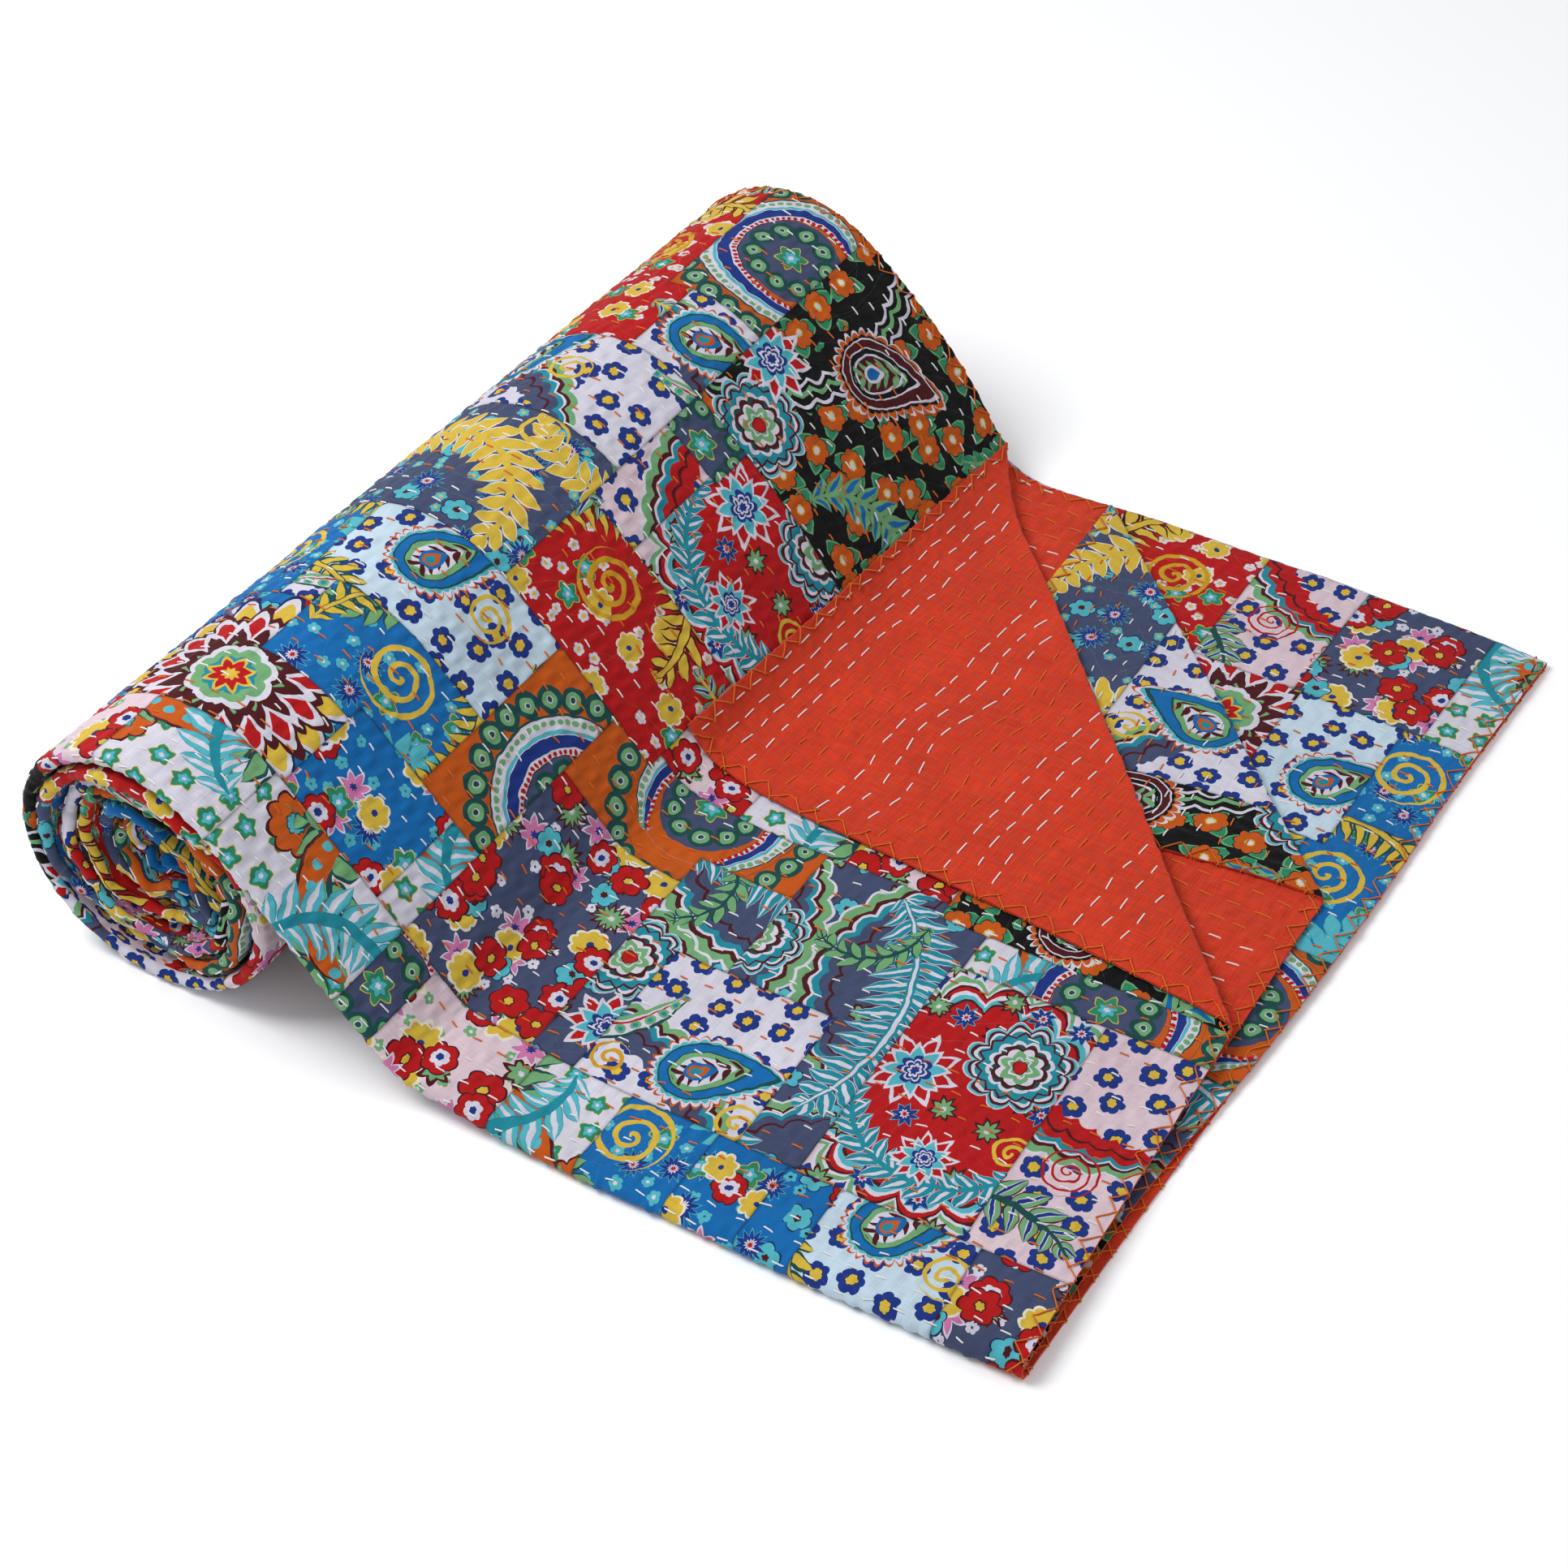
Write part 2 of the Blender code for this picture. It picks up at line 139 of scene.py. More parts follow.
# %% The strip's line from the floor up to the roll
def arc(length, start, end, whole):
    """Steps along X and Z over part of an arc whose slope goes evenly from start to end over its whole length,
    and the slope reached: the chord is the length times sin(half the turn) over half the turn."""
    turn = (end - start) * length / whole
    chord = length * np.sinc(turn / (2 * math.pi))
    return -chord * np.cos(start + turn / 2), chord * np.sin(start + turn / 2), start + turn


def line_of(y):
    """The underside of the strip at distance y from its front: flat on the floor, a low ramp, a bend, a climb
    that ends where it touches the roll, and the roll."""
    at_roll, at_bend = np.radians(across(SLOPE_AT_ROLL, y)), np.radians(across(SLOPE_AT_BEND, y))
    low = np.radians(across(SLOPE_OF_RAMP, y))
    ramp, bend = across(RAMP_RADIUS, y) * low, across(BEND_RADIUS, y) * (at_bend - low)
    ramp_x, ramp_z, _ = arc(ramp, 0 * low, low, ramp)
    bend_x, bend_z, _ = arc(bend, low, at_bend, bend)
    inner = wound_radius(-at_roll) - STRIP_THICKNESS
    middle = across((0, ROLL_SKEW), y)
    rise = ROLL_MIDDLE + inner * np.cos(at_roll) - ramp_z - bend_z
    climb = rise / (np.sinc((at_roll - at_bend) / (2 * math.pi)) * np.sin((at_roll + at_bend) / 2))
    climb_x, _, _ = arc(climb, at_bend, at_roll, climb)
    flat = FARTHEST - (middle + inner * np.sin(at_roll) - ramp_x - bend_x - climb_x)
    arcs = [(flat, ramp, 0 * low, low), (flat + ramp, bend, low, at_bend)]
    arcs.append((flat + ramp + bend, climb, at_bend, at_roll))
    return {"middle": middle, "at_roll": at_roll, "arcs": arcs, "roll": flat + ramp + bend + climb}


# %% The roll's turns
def turned_by(line, along):
    """Angle turned past the top of the roll, in radians. The radius shrinks by one pitch a turn, so the length
    is R angle - pitch angle^2 / 4 pi, and this is that equation solved for the angle."""
    length = np.maximum(along - line["roll"], 0)
    root = np.sqrt(np.maximum(ROLL_OUTSIDE**2 - ROLL_PITCH * length / math.pi, 0))
    return 2 * math.pi / ROLL_PITCH * (ROLL_OUTSIDE - root) - line["at_roll"]


def wound_length(turned):
    """Length along the strip, at its front, at which it has turned by an angle past the top of the roll."""
    line = line_of(np.zeros(1))
    angle = turned + line["at_roll"][0]
    return float(line["roll"][0] + ROLL_OUTSIDE * angle - ROLL_PITCH * angle**2 / (4 * math.pi))


def slacken(x, strayed, z, y, turned):
    """The outermost turn is neat, and the turns inside it are not. From 150 degrees past the top on, each point
    of the roll, given from the roll's middle, is pressed in along LEAN by a share that grows with each turn,
    which leaves open gaps there; the turns wander by waves of their angle, and near the ends the core is
    crumpled by more waves, which go whole times round so that its turns move together; and each turn's edge
    lies deeper than the last, unevenly."""
    inside = smooth(np.clip((np.degrees(turned) - 150) / 220, 0, 1))
    turns = turned / (2 * math.pi)
    press = np.minimum(PRESS_A_TURN * np.clip(turns - 0.42, 0, 9), MOST_PRESS) * inside
    lean = math.radians(LEAN)
    toward = (x * math.cos(lean) + z * math.sin(lean)) * press
    near_end = np.exp(-y / NEAR_END) + np.exp((y - STRIP_WIDTH) / NEAR_END)
    uneven = WANDER + WANDER_AT_END * near_end
    wander = inside * uneven * (np.sin(1.71 * turned + 0.4) + 0.7 * np.sin(3.3 * turned + y * 9))
    crumpled = CRUMPLE_A_TURN * np.clip(turns - 2, 0, 5) * np.minimum(near_end, 1)
    wander = wander + inside * crumpled * (np.sin(3 * turned + 1.2) + 0.6 * np.sin(5 * turned))
    x = x - toward * math.cos(lean) - wander * np.sin(turned)
    z = z - toward * math.sin(lean) + wander * np.cos(turned)
    deeper = ROLL_RECESS * np.clip((np.degrees(turned) - 130) / (ROLL_TURNS * 360 - 130), 0, 1) ** 1.2
    deeper = deeper + inside * (0.0026 * np.sin(1.37 * turned + 2.0) + 0.0020 * np.sin(2.9 * turned))
    deeper = deeper + inside * 0.0011 * np.sin(7.3 * turned + 1.0)
    return x, strayed + deeper * (1 - 1.7 * y / STRIP_WIDTH), z


# %% Points of the strip
def place(along, y, height):
    """Points of the strip, in the frame: along is the length from the loose end, y the distance from the front
    and height the distance from the strip's underside."""
    line = line_of(y)
    x = FARTHEST - np.minimum(along, line["arcs"][0][0])
    z, slope = np.zeros_like(x), np.zeros_like(x)
    for start, whole, slope_in, slope_out in line["arcs"]:
        length = np.clip(along - start, 0, whole)
        step_x, step_z, reached = arc(length, slope_in, slope_out, whole)
        x, z = x + step_x, z + step_z
        slope = np.where(length > 0, reached, slope)
    turned = turned_by(line, along)
    on_roll = along > line["roll"]
    inner = wound_radius(turned) - STRIP_THICKNESS
    x = np.where(on_roll, line["middle"] - inner * np.sin(turned), x)
    z = np.where(on_roll, ROLL_MIDDLE + inner * np.cos(turned), z)
    slope = np.where(on_roll, -turned, slope)
    reach = np.minimum(along, STRAY_LENGTHS[-1])
    front, back = curve_through(STRAY_LENGTHS, STRAY_FRONT, reach), curve_through(STRAY_LENGTHS, STRAY_BACK, reach)
    strayed = y + front * (1 - y / STRIP_WIDTH) + back * y / STRIP_WIDTH
    x, z = x + height * np.sin(slope), z + height * np.cos(slope)
    x, strayed, z = slacken(x - line["middle"], strayed, z - ROLL_MIDDLE, y, turned)
    return np.stack([x + line["middle"], strayed, z + ROLL_MIDDLE], axis=-1) + ORIGIN


# %% [markdown]
# ## Layers and folds
# Across the strip the cloth runs back and forth. It starts at the back edge of the top layer, turns under at the
# front, comes back along the floor, turns up at the back, goes forward again, and doubles back once more to end
# as the second layer. One number, the way along that section, says where on the cloth a point is.

# %% The section of the strip
FULLNESS, FULL_REACH, FULL_SPACING = 0.30, 0.16, 0.24


def level_height(layer, along, y):
    """Height of a layer's middle over the strip's underside: its level times the spacing of the levels, which
    closes up towards the roll and is a little fuller in places near the loose end."""
    share = np.clip((along - CLOSES_UP_AT) / (line_of(y)["roll"] - CLOSES_UP_AT), 0, 1)
    loose = 1 - smooth(share)
    swell = 0.5 + 0.5 * np.sin(2 * math.pi * y / FULL_SPACING + 0.6)
    flat = LEVELS_FLAT[layer] * LEVEL_FLAT * (1 + FULLNESS * np.clip(1 - along / FULL_REACH, 0, 1) * swell)
    return THICKNESS / 2 + loose * flat + (1 - loose) * LEVELS_ROLLED[layer] * LEVEL_ROLLED


def fold_reach(lower, upper):
    """Radius of the fold that joins two layers."""
    return (LEVELS_FLAT[upper] - LEVELS_FLAT[lower]) * LEVEL_FLAT / 2


OUTER_RIM, INNER_RIM, BACK_RIM = THICKNESS / 2, 2 * THICKNESS, STRIP_WIDTH - THICKNESS / 2
LAYER_ENDS = {
    "top": (STRIP_WIDTH, OUTER_RIM + fold_reach("bottom", "top")),
    "bottom": (OUTER_RIM + fold_reach("bottom", "top"), BACK_RIM - fold_reach("bottom", "third")),
    "third": (BACK_RIM - fold_reach("bottom", "third"), INNER_RIM + fold_reach("third", "second")),
    "second": (INNER_RIM + fold_reach("third", "second"), 0.565),
}
SECTION = [  # layer, the layer that it folds into, and where the fold's outermost line lies
    ("top", None, None),
    ("top", "bottom", OUTER_RIM),
    ("bottom", None, None),
    ("bottom", "third", BACK_RIM),
    ("third", None, None),
    ("third", "second", INNER_RIM),
    ("second", None, None),
]


def stretch_length(layer, following):
    """Length of one stretch of the section: a layer's width, or half a turn of a fold."""
    start, end = LAYER_ENDS[layer]
    return abs(end - start) if following is None else math.pi * abs(fold_reach(layer, following))


STARTS = np.cumsum([0.0] + [stretch_length(layer, following) for layer, following, _ in SECTION])
SPANS = np.array([LAYER_ENDS[layer] for layer, _, _ in SECTION])
print("the quilt is", round(STARTS[-1], 3), "m wide when it is unfolded")


# %% Turned-back corners
def crease_length(layer, y):
    """Length from the loose end at which a layer's crease crosses distance y, and the crease's direction."""
    (back_x, back_y), (front_x, front_y), _ = CREASES[layer]
    size = math.hypot(front_x - back_x, front_y - back_y)
    beyond = ((back_y - front_y) / size, (front_x - back_x) / size)
    return FARTHEST - (back_x + (front_x - back_x) * (back_y - y) / (back_y - front_y)), beyond


def turn_back(layer, along, y, height):
    """What lies beyond the crease goes half round it and comes back on top of its own layer: a point at distance
    d past the crease sits at angle d / r round it up to half a turn, and goes straight on from there."""
    radius = CREASES[layer][2]
    crossing, beyond = crease_length(layer, y)
    past = (crossing - along) * beyond[0]
    angle = np.clip(past / radius, 0, math.pi)
    move = np.where(past > 0, radius * np.sin(angle) - np.maximum(past - math.pi * radius, 0) - past, 0)
    new_along, new_y = along - move * beyond[0], y + move * beyond[1]
    lifted = level_height(layer, new_along, new_y) + radius * (1 - np.cos(angle))
    return new_along, new_y, np.where(past > 0, lifted, height)


# %% From the two lengths to a point
def on_section(way):
    """The stretch of the section that each way falls in, the share of that stretch behind it, and its distance
    from the front where the stretch is a layer."""
    number = np.clip(np.searchsorted(STARTS, way + 1e-9, side="right") - 1, 0, len(SECTION) - 1)
    share = np.clip((way - STARTS[number]) / (STARTS[number + 1] - STARTS[number]), 0, 1)
    start, end = SPANS[number, 0], SPANS[number, 1]
    is_layer = np.array([following is None for _, following, _ in SECTION])
    return number, share, np.where(is_layer[number], start + (end - start) * share, end)


def cloth_points(along, way):
    """Points of the cloth's middle surface, by the two lengths measured on the flat cloth. A fold is half a
    circle whose outermost line stays where it is, so the fold tightens as its layers close up."""
    along, way = (np.array(part) for part in np.broadcast_arrays(np.asarray(along, float), way))
    number, share, y = on_section(way)
    reach, height = along.copy(), np.zeros(along.shape)
    for k, (layer, following, rim) in enumerate(SECTION):
        chosen = number == k
        here_along, here_y = along[chosen], y[chosen]
        here = level_height(layer, here_along, here_y)
        if following is None and layer in CREASES:
            here_along, here_y, here = turn_back(layer, here_along, here_y, here)
        if following is not None:
            below = level_height(following, here_along, here_y)
            radius = (here - below) / 2
            inward = 1 if rim < STRIP_WIDTH / 2 else -1
            depth = np.minimum(np.abs(radius), abs(fold_reach(layer, following)))
            here_y = rim + inward * depth * (1 - np.sin(math.pi * share[chosen]))
            here = (here + below) / 2 + radius * np.cos(math.pi * share[chosen])
        reach[chosen], y[chosen], height[chosen] = here_along, here_y, here
    return place(reach, y, height)


def loose_end(way):
    """Length, along the strip, at which the cloth begins: each layer's free end lies a little differently."""
    number, share, y = on_section(way)
    begins = np.zeros(way.shape)
    for k, (layer, following, _) in enumerate(SECTION):
        chosen = number == k
        here = curve_through(END_DISTANCES, END_REACH[layer], y[chosen])
        if following is not None:
            there = curve_through(END_DISTANCES, END_REACH[following], y[chosen])
            here = here + (there - here) * share[chosen]
        begins[chosen] = FARTHEST - here
    return begins


check = cloth_points(np.linspace(0.02, 0.9, 50)[:, None], np.linspace(0, STARTS[-1], 80)[None, :])
print("a coarse net of the cloth spans", np.round(np.ptp(check.reshape(-1, 3), axis=0), 4))

# %% [markdown]
# ## The quilted surface
# Running stitch pulls the layers together, so the cloth is thin along each row of stitches and full between
# rows, and short wrinkles cross the channels where the thread draws up. A quilt could be left flat and given
# this by a bump map alone, but then its edges and its outline would be dead straight. Here the thickness and
# the lie of the real surface change, and the bump only adds the weave.

# %% Rows of stitches and what they do to the cloth
ROW_SPACING = 0.0125
STITCH_PITCH = 0.0150
DIP, WRINKLE = 0.42, 0.00032  # share of the thickness lost along a row, and height of a wrinkle


def waves(points, settings):
    """Sum of sine waves over two coordinates. Each setting is (height, waves per metre along, across, phase)."""
    along, way = points
    return sum(h * np.sin(2 * math.pi * (p * along + q * way) + phase) for h, p, q, phase in settings)


def row_shift(along, way):
    """How far the rows stray sideways, in metres: hand-sewn rows are never quite straight, and one group of them
    swings from side to side."""
    swing = 0.0032 * np.exp(-(((way - 0.125) / 0.028) ** 2)) * np.sin(2 * math.pi * 11 * along)
    return swing + waves((along, way), ((0.0011, 7, 3, 0.3), (0.0008, 13, -5, 1.9), (0.0005, 31, 9, 4.0)))


def quilting(along, way):
    """Share of the full thickness: it drops along each row as a power of a cosine that peaks on the row."""
    phase = (way + row_shift(along, way)) / ROW_SPACING
    return 1 - DIP * np.abs(np.cos(math.pi * (phase - 0.5))) ** 5


def wrinkles(along, way):
    """Height of the crosswise wrinkles, strongest halfway between two rows, with slower waves under them, and
    the puckers of the front folds where they are wound up."""
    phase = (way + row_shift(along, way)) / ROW_SPACING
    between = np.abs(np.sin(math.pi * (phase - 0.5)))
    fine = ((1.0, 105, 23, 0.0), (0.8, 141, -37, 1.1), (0.6, 74, 61, 2.3))
    slow = ((0.35, 11, 5, 0.4), (0.30, 6, -13, 2.0), (0.25, 17, 15, 5.1))
    lie = WRINKLE * (between * waves((along, way), fine) + waves((along, way), slow))
    puckers = ((1.0, 83, 9, 0.0), (0.8, 57, -14, 1.7), (0.5, 131, 21, 3.9))
    near_fold = np.exp(-(((way - (STARTS[1] + STARTS[2]) / 2) / 0.016) ** 2))
    wound = np.clip((along - 0.55) / 0.5, 0, 1)
    return lie + 0.00034 * wound * near_fold * waves((along, way), puckers)


# %% [markdown]
# ## Patches
# The face of the quilt is pieced from oblongs of several prints, each cut from its cloth at whatever angle the
# scrap allowed. The table says where each patch lies on the flat cloth and which print it has. Later rows are
# sewn over earlier ones, which keeps the table short.

# %% The patches, by distance from the loose end and from the front
PRINTS = [
    "white_blossom", "sky_blossom", "rose_blossom", "slate_spray", "slate_meadow", "slate_plume", "red_medallion",
    "red_flame", "blue_dahlia", "blue_spray", "blue_meadow", "black_garden", "bead_arcs", "leaf_rows", "marigold",
]


def patch_row(start, end, cuts, names):
    """A row of patches across the strip, where only the rough layout matters: cut at the given distances from
    the front, with each print turned by another 40 degrees."""
    return [(start, end, front, back, name, 40 * k, (start + end) / 2, (front + back) / 2)
            for k, (front, back, name) in enumerate(zip(cuts, cuts[1:], names))]


# %% The patches of the top layer, which shows most
# from, to, front, back, print, turn of the print in degrees, and the place of the print's own middle, in mm
TOP_PATCHES = [
    (590, 2400, 0, 600, "white_blossom", 20, 700, 300),
    *patch_row(600, 690, (0, 60, 150, 240, 340, 420, 500, 600), (
        "black_garden", "slate_meadow", "rose_blossom", "blue_dahlia", "white_blossom", "slate_spray", "red_flame")),
    *patch_row(690, 800, (0, 100, 190, 270, 380, 470, 600), (
        "white_blossom", "slate_plume", "leaf_rows", "black_garden", "sky_blossom", "blue_spray")),
    *patch_row(800, 900, (0, 70, 160, 280, 370, 500, 600), (
        "marigold", "white_blossom", "bead_arcs", "rose_blossom", "slate_meadow", "red_medallion")),
    *[(900 + 125 * k, 1030 + 125 * k, 0, 600, name, 40 * k, 960 + 125 * k, 50) for k, name in enumerate((
        "red_flame", "slate_spray", "bead_arcs", "white_blossom", "slate_meadow", "black_garden", "red_flame",
        "blue_spray", "slate_spray", "bead_arcs", "blue_dahlia", "blue_spray"))],
    (540, 600, 0, 50, "marigold", 60, 560, 30),
    (485, 555, 0, 50, "leaf_rows", 75, 520, 30),
    (385, 485, 0, 50, "leaf_rows", 15, 440, 10),
    (365, 390, 0, 50, "bead_arcs", 0, 380, 20),
    (290, 365, 0, 50, "marigold", 0, 330, 20),
    (240, 290, 0, 50, "leaf_rows", 200, 260, 20),
    (190, 240, 0, 50, "blue_spray", 100, 220, 30),
    (150, 190, 0, 50, "blue_meadow", 100, 190, 0),
    (105, 150, 0, 50, "blue_dahlia", 40, 190, 85),
    (45, 120, 0, 50, "sky_blossom", 0, 90, 40),
    (0, 45, 0, 50, "slate_meadow", 0, 30, 30),
    (470, 600, 50, 140, "blue_dahlia", 0, 535, 77),
    (555, 600, 140, 225, "blue_spray", 70, 580, 180),
    (435, 555, 160, 225, "sky_blossom", 20, 510, 200),
    (435, 535, 100, 160, "blue_spray", 0, 478, 132),
    (410, 480, 50, 110, "blue_meadow", 0, 440, 80),
    (390, 435, 110, 225, "bead_arcs", 80, 370, 170),
    (390, 410, 50, 110, "leaf_rows", 90, 400, 80),
    (245, 390, 160, 235, "bead_arcs", 0, 315, 232),
    (300, 390, 50, 180, "slate_meadow", 30, 340, 110),
    (245, 300, 50, 200, "slate_plume", 60, 260, 160),
    (140, 245, 50, 235, "slate_plume", 0, 200, 160),
    (180, 275, 50, 140, "white_blossom", 0, 222.5, 77),
    (55, 145, 50, 200, "red_medallion", 0, 105, 125),
    (0, 55, 50, 200, "rose_blossom", 30, 30, 110),
    (100, 140, 200, 225, "leaf_rows", 0, 120, 210),
    (0, 100, 200, 225, "bead_arcs", 30, 60, 210),
    (400, 480, 225, 260, "red_flame", 0, 440, 250),
    (300, 400, 235, 260, "marigold", 30, 350, 250),
    (235, 300, 235, 260, "leaf_rows", 30, 270, 250),
    (170, 235, 235, 260, "marigold", 0, 210, 250),
    (0, 170, 225, 260, "black_garden", 30, 100, 250),
    (480, 600, 225, 325, "slate_spray", 0, 540, 300),
    (480, 600, 325, 400, "white_blossom", 20, 580, 370),
    (385, 480, 300, 370, "rose_blossom", 0, 430, 297),
    (360, 480, 225, 300, "red_flame", 0, 440, 270),
    (330, 445, 300, 400, "red_medallion", 0, 400, 370),
    (440, 480, 370, 400, "bead_arcs", 60, 460, 380),
    (520, 600, 400, 600, "red_flame", 60, 570, 500),
    (480, 540, 460, 600, "bead_arcs", 100, 500, 520),
    (480, 525, 400, 460, "white_blossom", 0, 500, 430),
    (330, 480, 400, 600, "black_garden", 0, 425, 507),
    (0, 330, 260, 420, "slate_meadow", 0, 200, 320),
    (0, 330, 420, 600, "white_blossom", 50, 200, 450),
]

# %% The patches of the layers under it
THIRD_PATCHES = [
    (0, 2400, 0, 600, "white_blossom", 30, 600, 200),
    (0, 50, 0, 100, "black_garden", 60, 30, 50),
    (0, 50, 100, 200, "slate_plume", 60, 30, 150),
    (0, 50, 200, 300, "bead_arcs", 80, 30, 250),
    (0, 50, 300, 400, "blue_spray", 0, 30, 350),
    (50, 170, 300, 400, "blue_spray", 0, 100, 330),
    (160, 300, 475, 600, "red_flame", 100, 200, 530),
    (105, 165, 475, 600, "rose_blossom", 0, 140, 520),
    (30, 105, 475, 600, "slate_meadow", 0, 50, 550),
    (0, 30, 475, 600, "leaf_rows", 90, 20, 520),
    (100, 170, 400, 475, "blue_dahlia", 0, 130, 440),
    (40, 100, 375, 475, "sky_blossom", 0, 60, 416),
    (0, 40, 400, 475, "blue_spray", 45, 20, 440),
]
SECOND_PATCHES = [
    (0, 2400, 0, 600, "slate_meadow", 0, 600, 200),
    (0, 400, 200, 600, "slate_spray", 90, 100, 520),
    (0, 400, 200, 490, "white_blossom", 90, 100, 440),
    (0, 50, 200, 600, "black_garden", 0, 30, 450),
]
BOTTOM_PATCHES = [
    (0, 2400, 0, 600, "slate_meadow", 50, 600, 200),
    *patch_row(0, 170, (0, 160, 320, 450, 600), ("slate_spray", "rose_blossom", "red_flame", "sky_blossom")),
    *patch_row(170, 330, (0, 120, 260, 400, 600), ("white_blossom", "bead_arcs", "slate_plume", "marigold")),
    *patch_row(330, 500, (0, 180, 310, 460, 600), ("red_medallion", "blue_spray", "leaf_rows", "slate_meadow")),
    *patch_row(500, 660, (0, 140, 290, 440, 600), ("blue_meadow", "red_flame", "black_garden", "slate_spray")),
    *patch_row(660, 800, (0, 170, 300, 600), ("rose_blossom", "blue_dahlia", "red_flame")),
    (950, 1100, 0, 600, "blue_meadow", 50, 1000, 200),
    (1250, 1400, 0, 600, "black_garden", 50, 1300, 200),
    (1550, 1750, 0, 600, "red_flame", 50, 1600, 200),
    (1950, 2100, 0, 600, "blue_spray", 50, 2000, 200),
]
PATCHES = {"top": TOP_PATCHES, "bottom": BOTTOM_PATCHES, "third": THIRD_PATCHES, "second": SECOND_PATCHES}
PATCHES = {layer: [(*np.divide(row[:4], 1000), *row[4:6], *np.divide(row[6:], 1000)) for row in table]
           for layer, table in PATCHES.items()}


# %% Which patch a point is in
def patch_of(along, way):
    """For each face of the cloth: its patch, counted through all four tables. A fold takes the patches of the
    layer before it."""
    number, _, y = on_section(way)
    found = np.zeros(along.shape, int)
    first = 0
    for layer, table in PATCHES.items():
        lies_in = np.isin(number, [k for k, stretch in enumerate(SECTION) if stretch[0] == layer])
        for k, (start, end, front, back, *_) in enumerate(table):
            inside = lies_in & (along >= start) & (along < end) & (y >= front) & (y < back)
            found[inside] = first + k
        first += len(table)
    return found


def unfolded_y(way):
    """Distance from the front as the prints have it, which runs on past the layer's end and round the fold."""
    number = on_section(way)[0]
    first = np.array([SECTION.index((layer, None, None)) for layer, _, _ in SECTION])[number]
    start, end = SPANS[number].T
    return start + np.sign(end - start) * (way - STARTS[first])


ALL_PATCHES = [patch for table in PATCHES.values() for patch in table]
print(len(ALL_PATCHES), "patches in", len(PRINTS), "prints")

# %% [markdown]
# ## From the flat cloth to a mesh
# Every sheet below is a grid of the flat cloth, carried to its place as whole arrays. A modifier could give the
# sheet its thickness, but here the thickness changes from point to point, so the two faces are offset from the
# middle surface by hand, and the rim between them is closed.

# %% Grids
LEAN_REACH, CREASE_ROWS = 0.3, 8
FLOOR_GAP = 0.0001  # the floor stops the cloth and its threads here


def lines(*marks_and_steps):
    """Positions of grid lines: from each mark to the next in even steps no longer than the step between them."""
    marks, steps = marks_and_steps[0::2], marks_and_steps[1::2]
    parts = [np.linspace(a, b, max(1, round((b - a) / step)) + 1)[:-1] for a, b, step in zip(marks, marks[1:], steps)]
    return np.concatenate([*parts, [marks[-1]]])


def line_lean(begins, line):
    """How far a grid line is moved to follow the cloth's end: all the way there, and no longer at LEAN_REACH."""
    fade = np.clip(1 - line / LEAN_REACH, 0, 1)
    return begins * fade**2 * (3 - 2 * fade)


def sheet_grid(along_lines, way_lines, crease=None):
    """The two lengths at every crossing of a grid. Near the loose end the lines that run across the strip lean
    to follow the cloth's end. A layer with a crease gets eight narrow rows along it, and its other rows stop
    there, so that the fold is smooth."""
    begins = loose_end(way_lines)
    along = along_lines[:, None] + line_lean(begins[None, :], along_lines[:, None])
    if crease:
        y = on_section(way_lines)[2]
        crossing, beyond = crease_length(crease, y)
        width = math.pi * CREASES[crease][2] / beyond[0]
        bend = crossing[None, :] - width * np.linspace(1, 0, CREASE_ROWS + 1)[:, None]
        along = np.concatenate([np.minimum(along, crossing - width), bend, np.maximum(along, crossing)])
        along = np.maximum(along, begins[None, :])
    return along, np.broadcast_to(way_lines[None, :], along.shape)


def grid_line(along, way):
    """The grid's own line through a point: the lean is taken off again, by putting the last answer back into it
    five times."""
    begins, line = loose_end(way), along
    for _ in range(5):
        line = along - line_lean(begins, line)
    return line


# %% Faces' heights and directions
def across_the_cloth(along, way):
    """Unit vectors on the cloth, along and across, and the direction that the printed face looks, which is the
    first crossed with the second."""
    step = 0.0004
    ahead = cloth_points(along + step, way) - cloth_points(along - step, way)
    aside = cloth_points(along, np.minimum(way + step, STARTS[-1])) - cloth_points(along, np.maximum(way - step, 0))
    units = [ahead, aside, np.cross(ahead, aside)]
    return [unit / np.linalg.norm(unit, axis=-1, keepdims=True) for unit in units]


def face_height(along, way, side):
    """Height of a face over the cloth's middle surface: the wrinkles, and half of the thickness either way."""
    return wrinkles(along, way) + side * THICKNESS / 2 * quilting(along, way)


def face_normals(along, way, units, side):
    """Where a face looks: the middle surface's direction, leaned back by the slope of the face's height along
    and across. With these the shading runs on unbroken from one sheet to the next."""
    step = 0.0003
    slope_on = (face_height(along + step, way, side) - face_height(along - step, way, side)) / (2 * step)
    slope_over = (face_height(along, way + step, side) - face_height(along, way - step, side)) / (2 * step)
    leaned = units[2] - units[0] * slope_on[:, None] - units[1] * slope_over[:, None]
    return side * leaned / np.linalg.norm(leaned, axis=-1, keepdims=True)


# %% Faces of one sheet
REVERSE = len(PRINTS)  # number of the reverse's material
SEAM_PINCH = 0.22  # share of its thickness that a seam takes from the cloth


def merged_grid(along, way):
    """The grid's points and its four-cornered faces. Points that were pushed together at a crease are merged, and
    a face that is left with fewer than three corners is dropped."""
    flat, index = np.unique(np.round(np.stack([along, way], -1).reshape(-1, 2), 7), axis=0, return_inverse=True)
    index = index.reshape(along.shape)
    faces = np.stack([index[:-1, :-1], index[1:, :-1], index[1:, 1:], index[:-1, 1:]], -1).reshape(-1, 4)
    distinct = (np.diff(np.sort(faces, axis=1), axis=1) > 0).sum(axis=1) + 1
    return flat, faces[distinct >= 3]


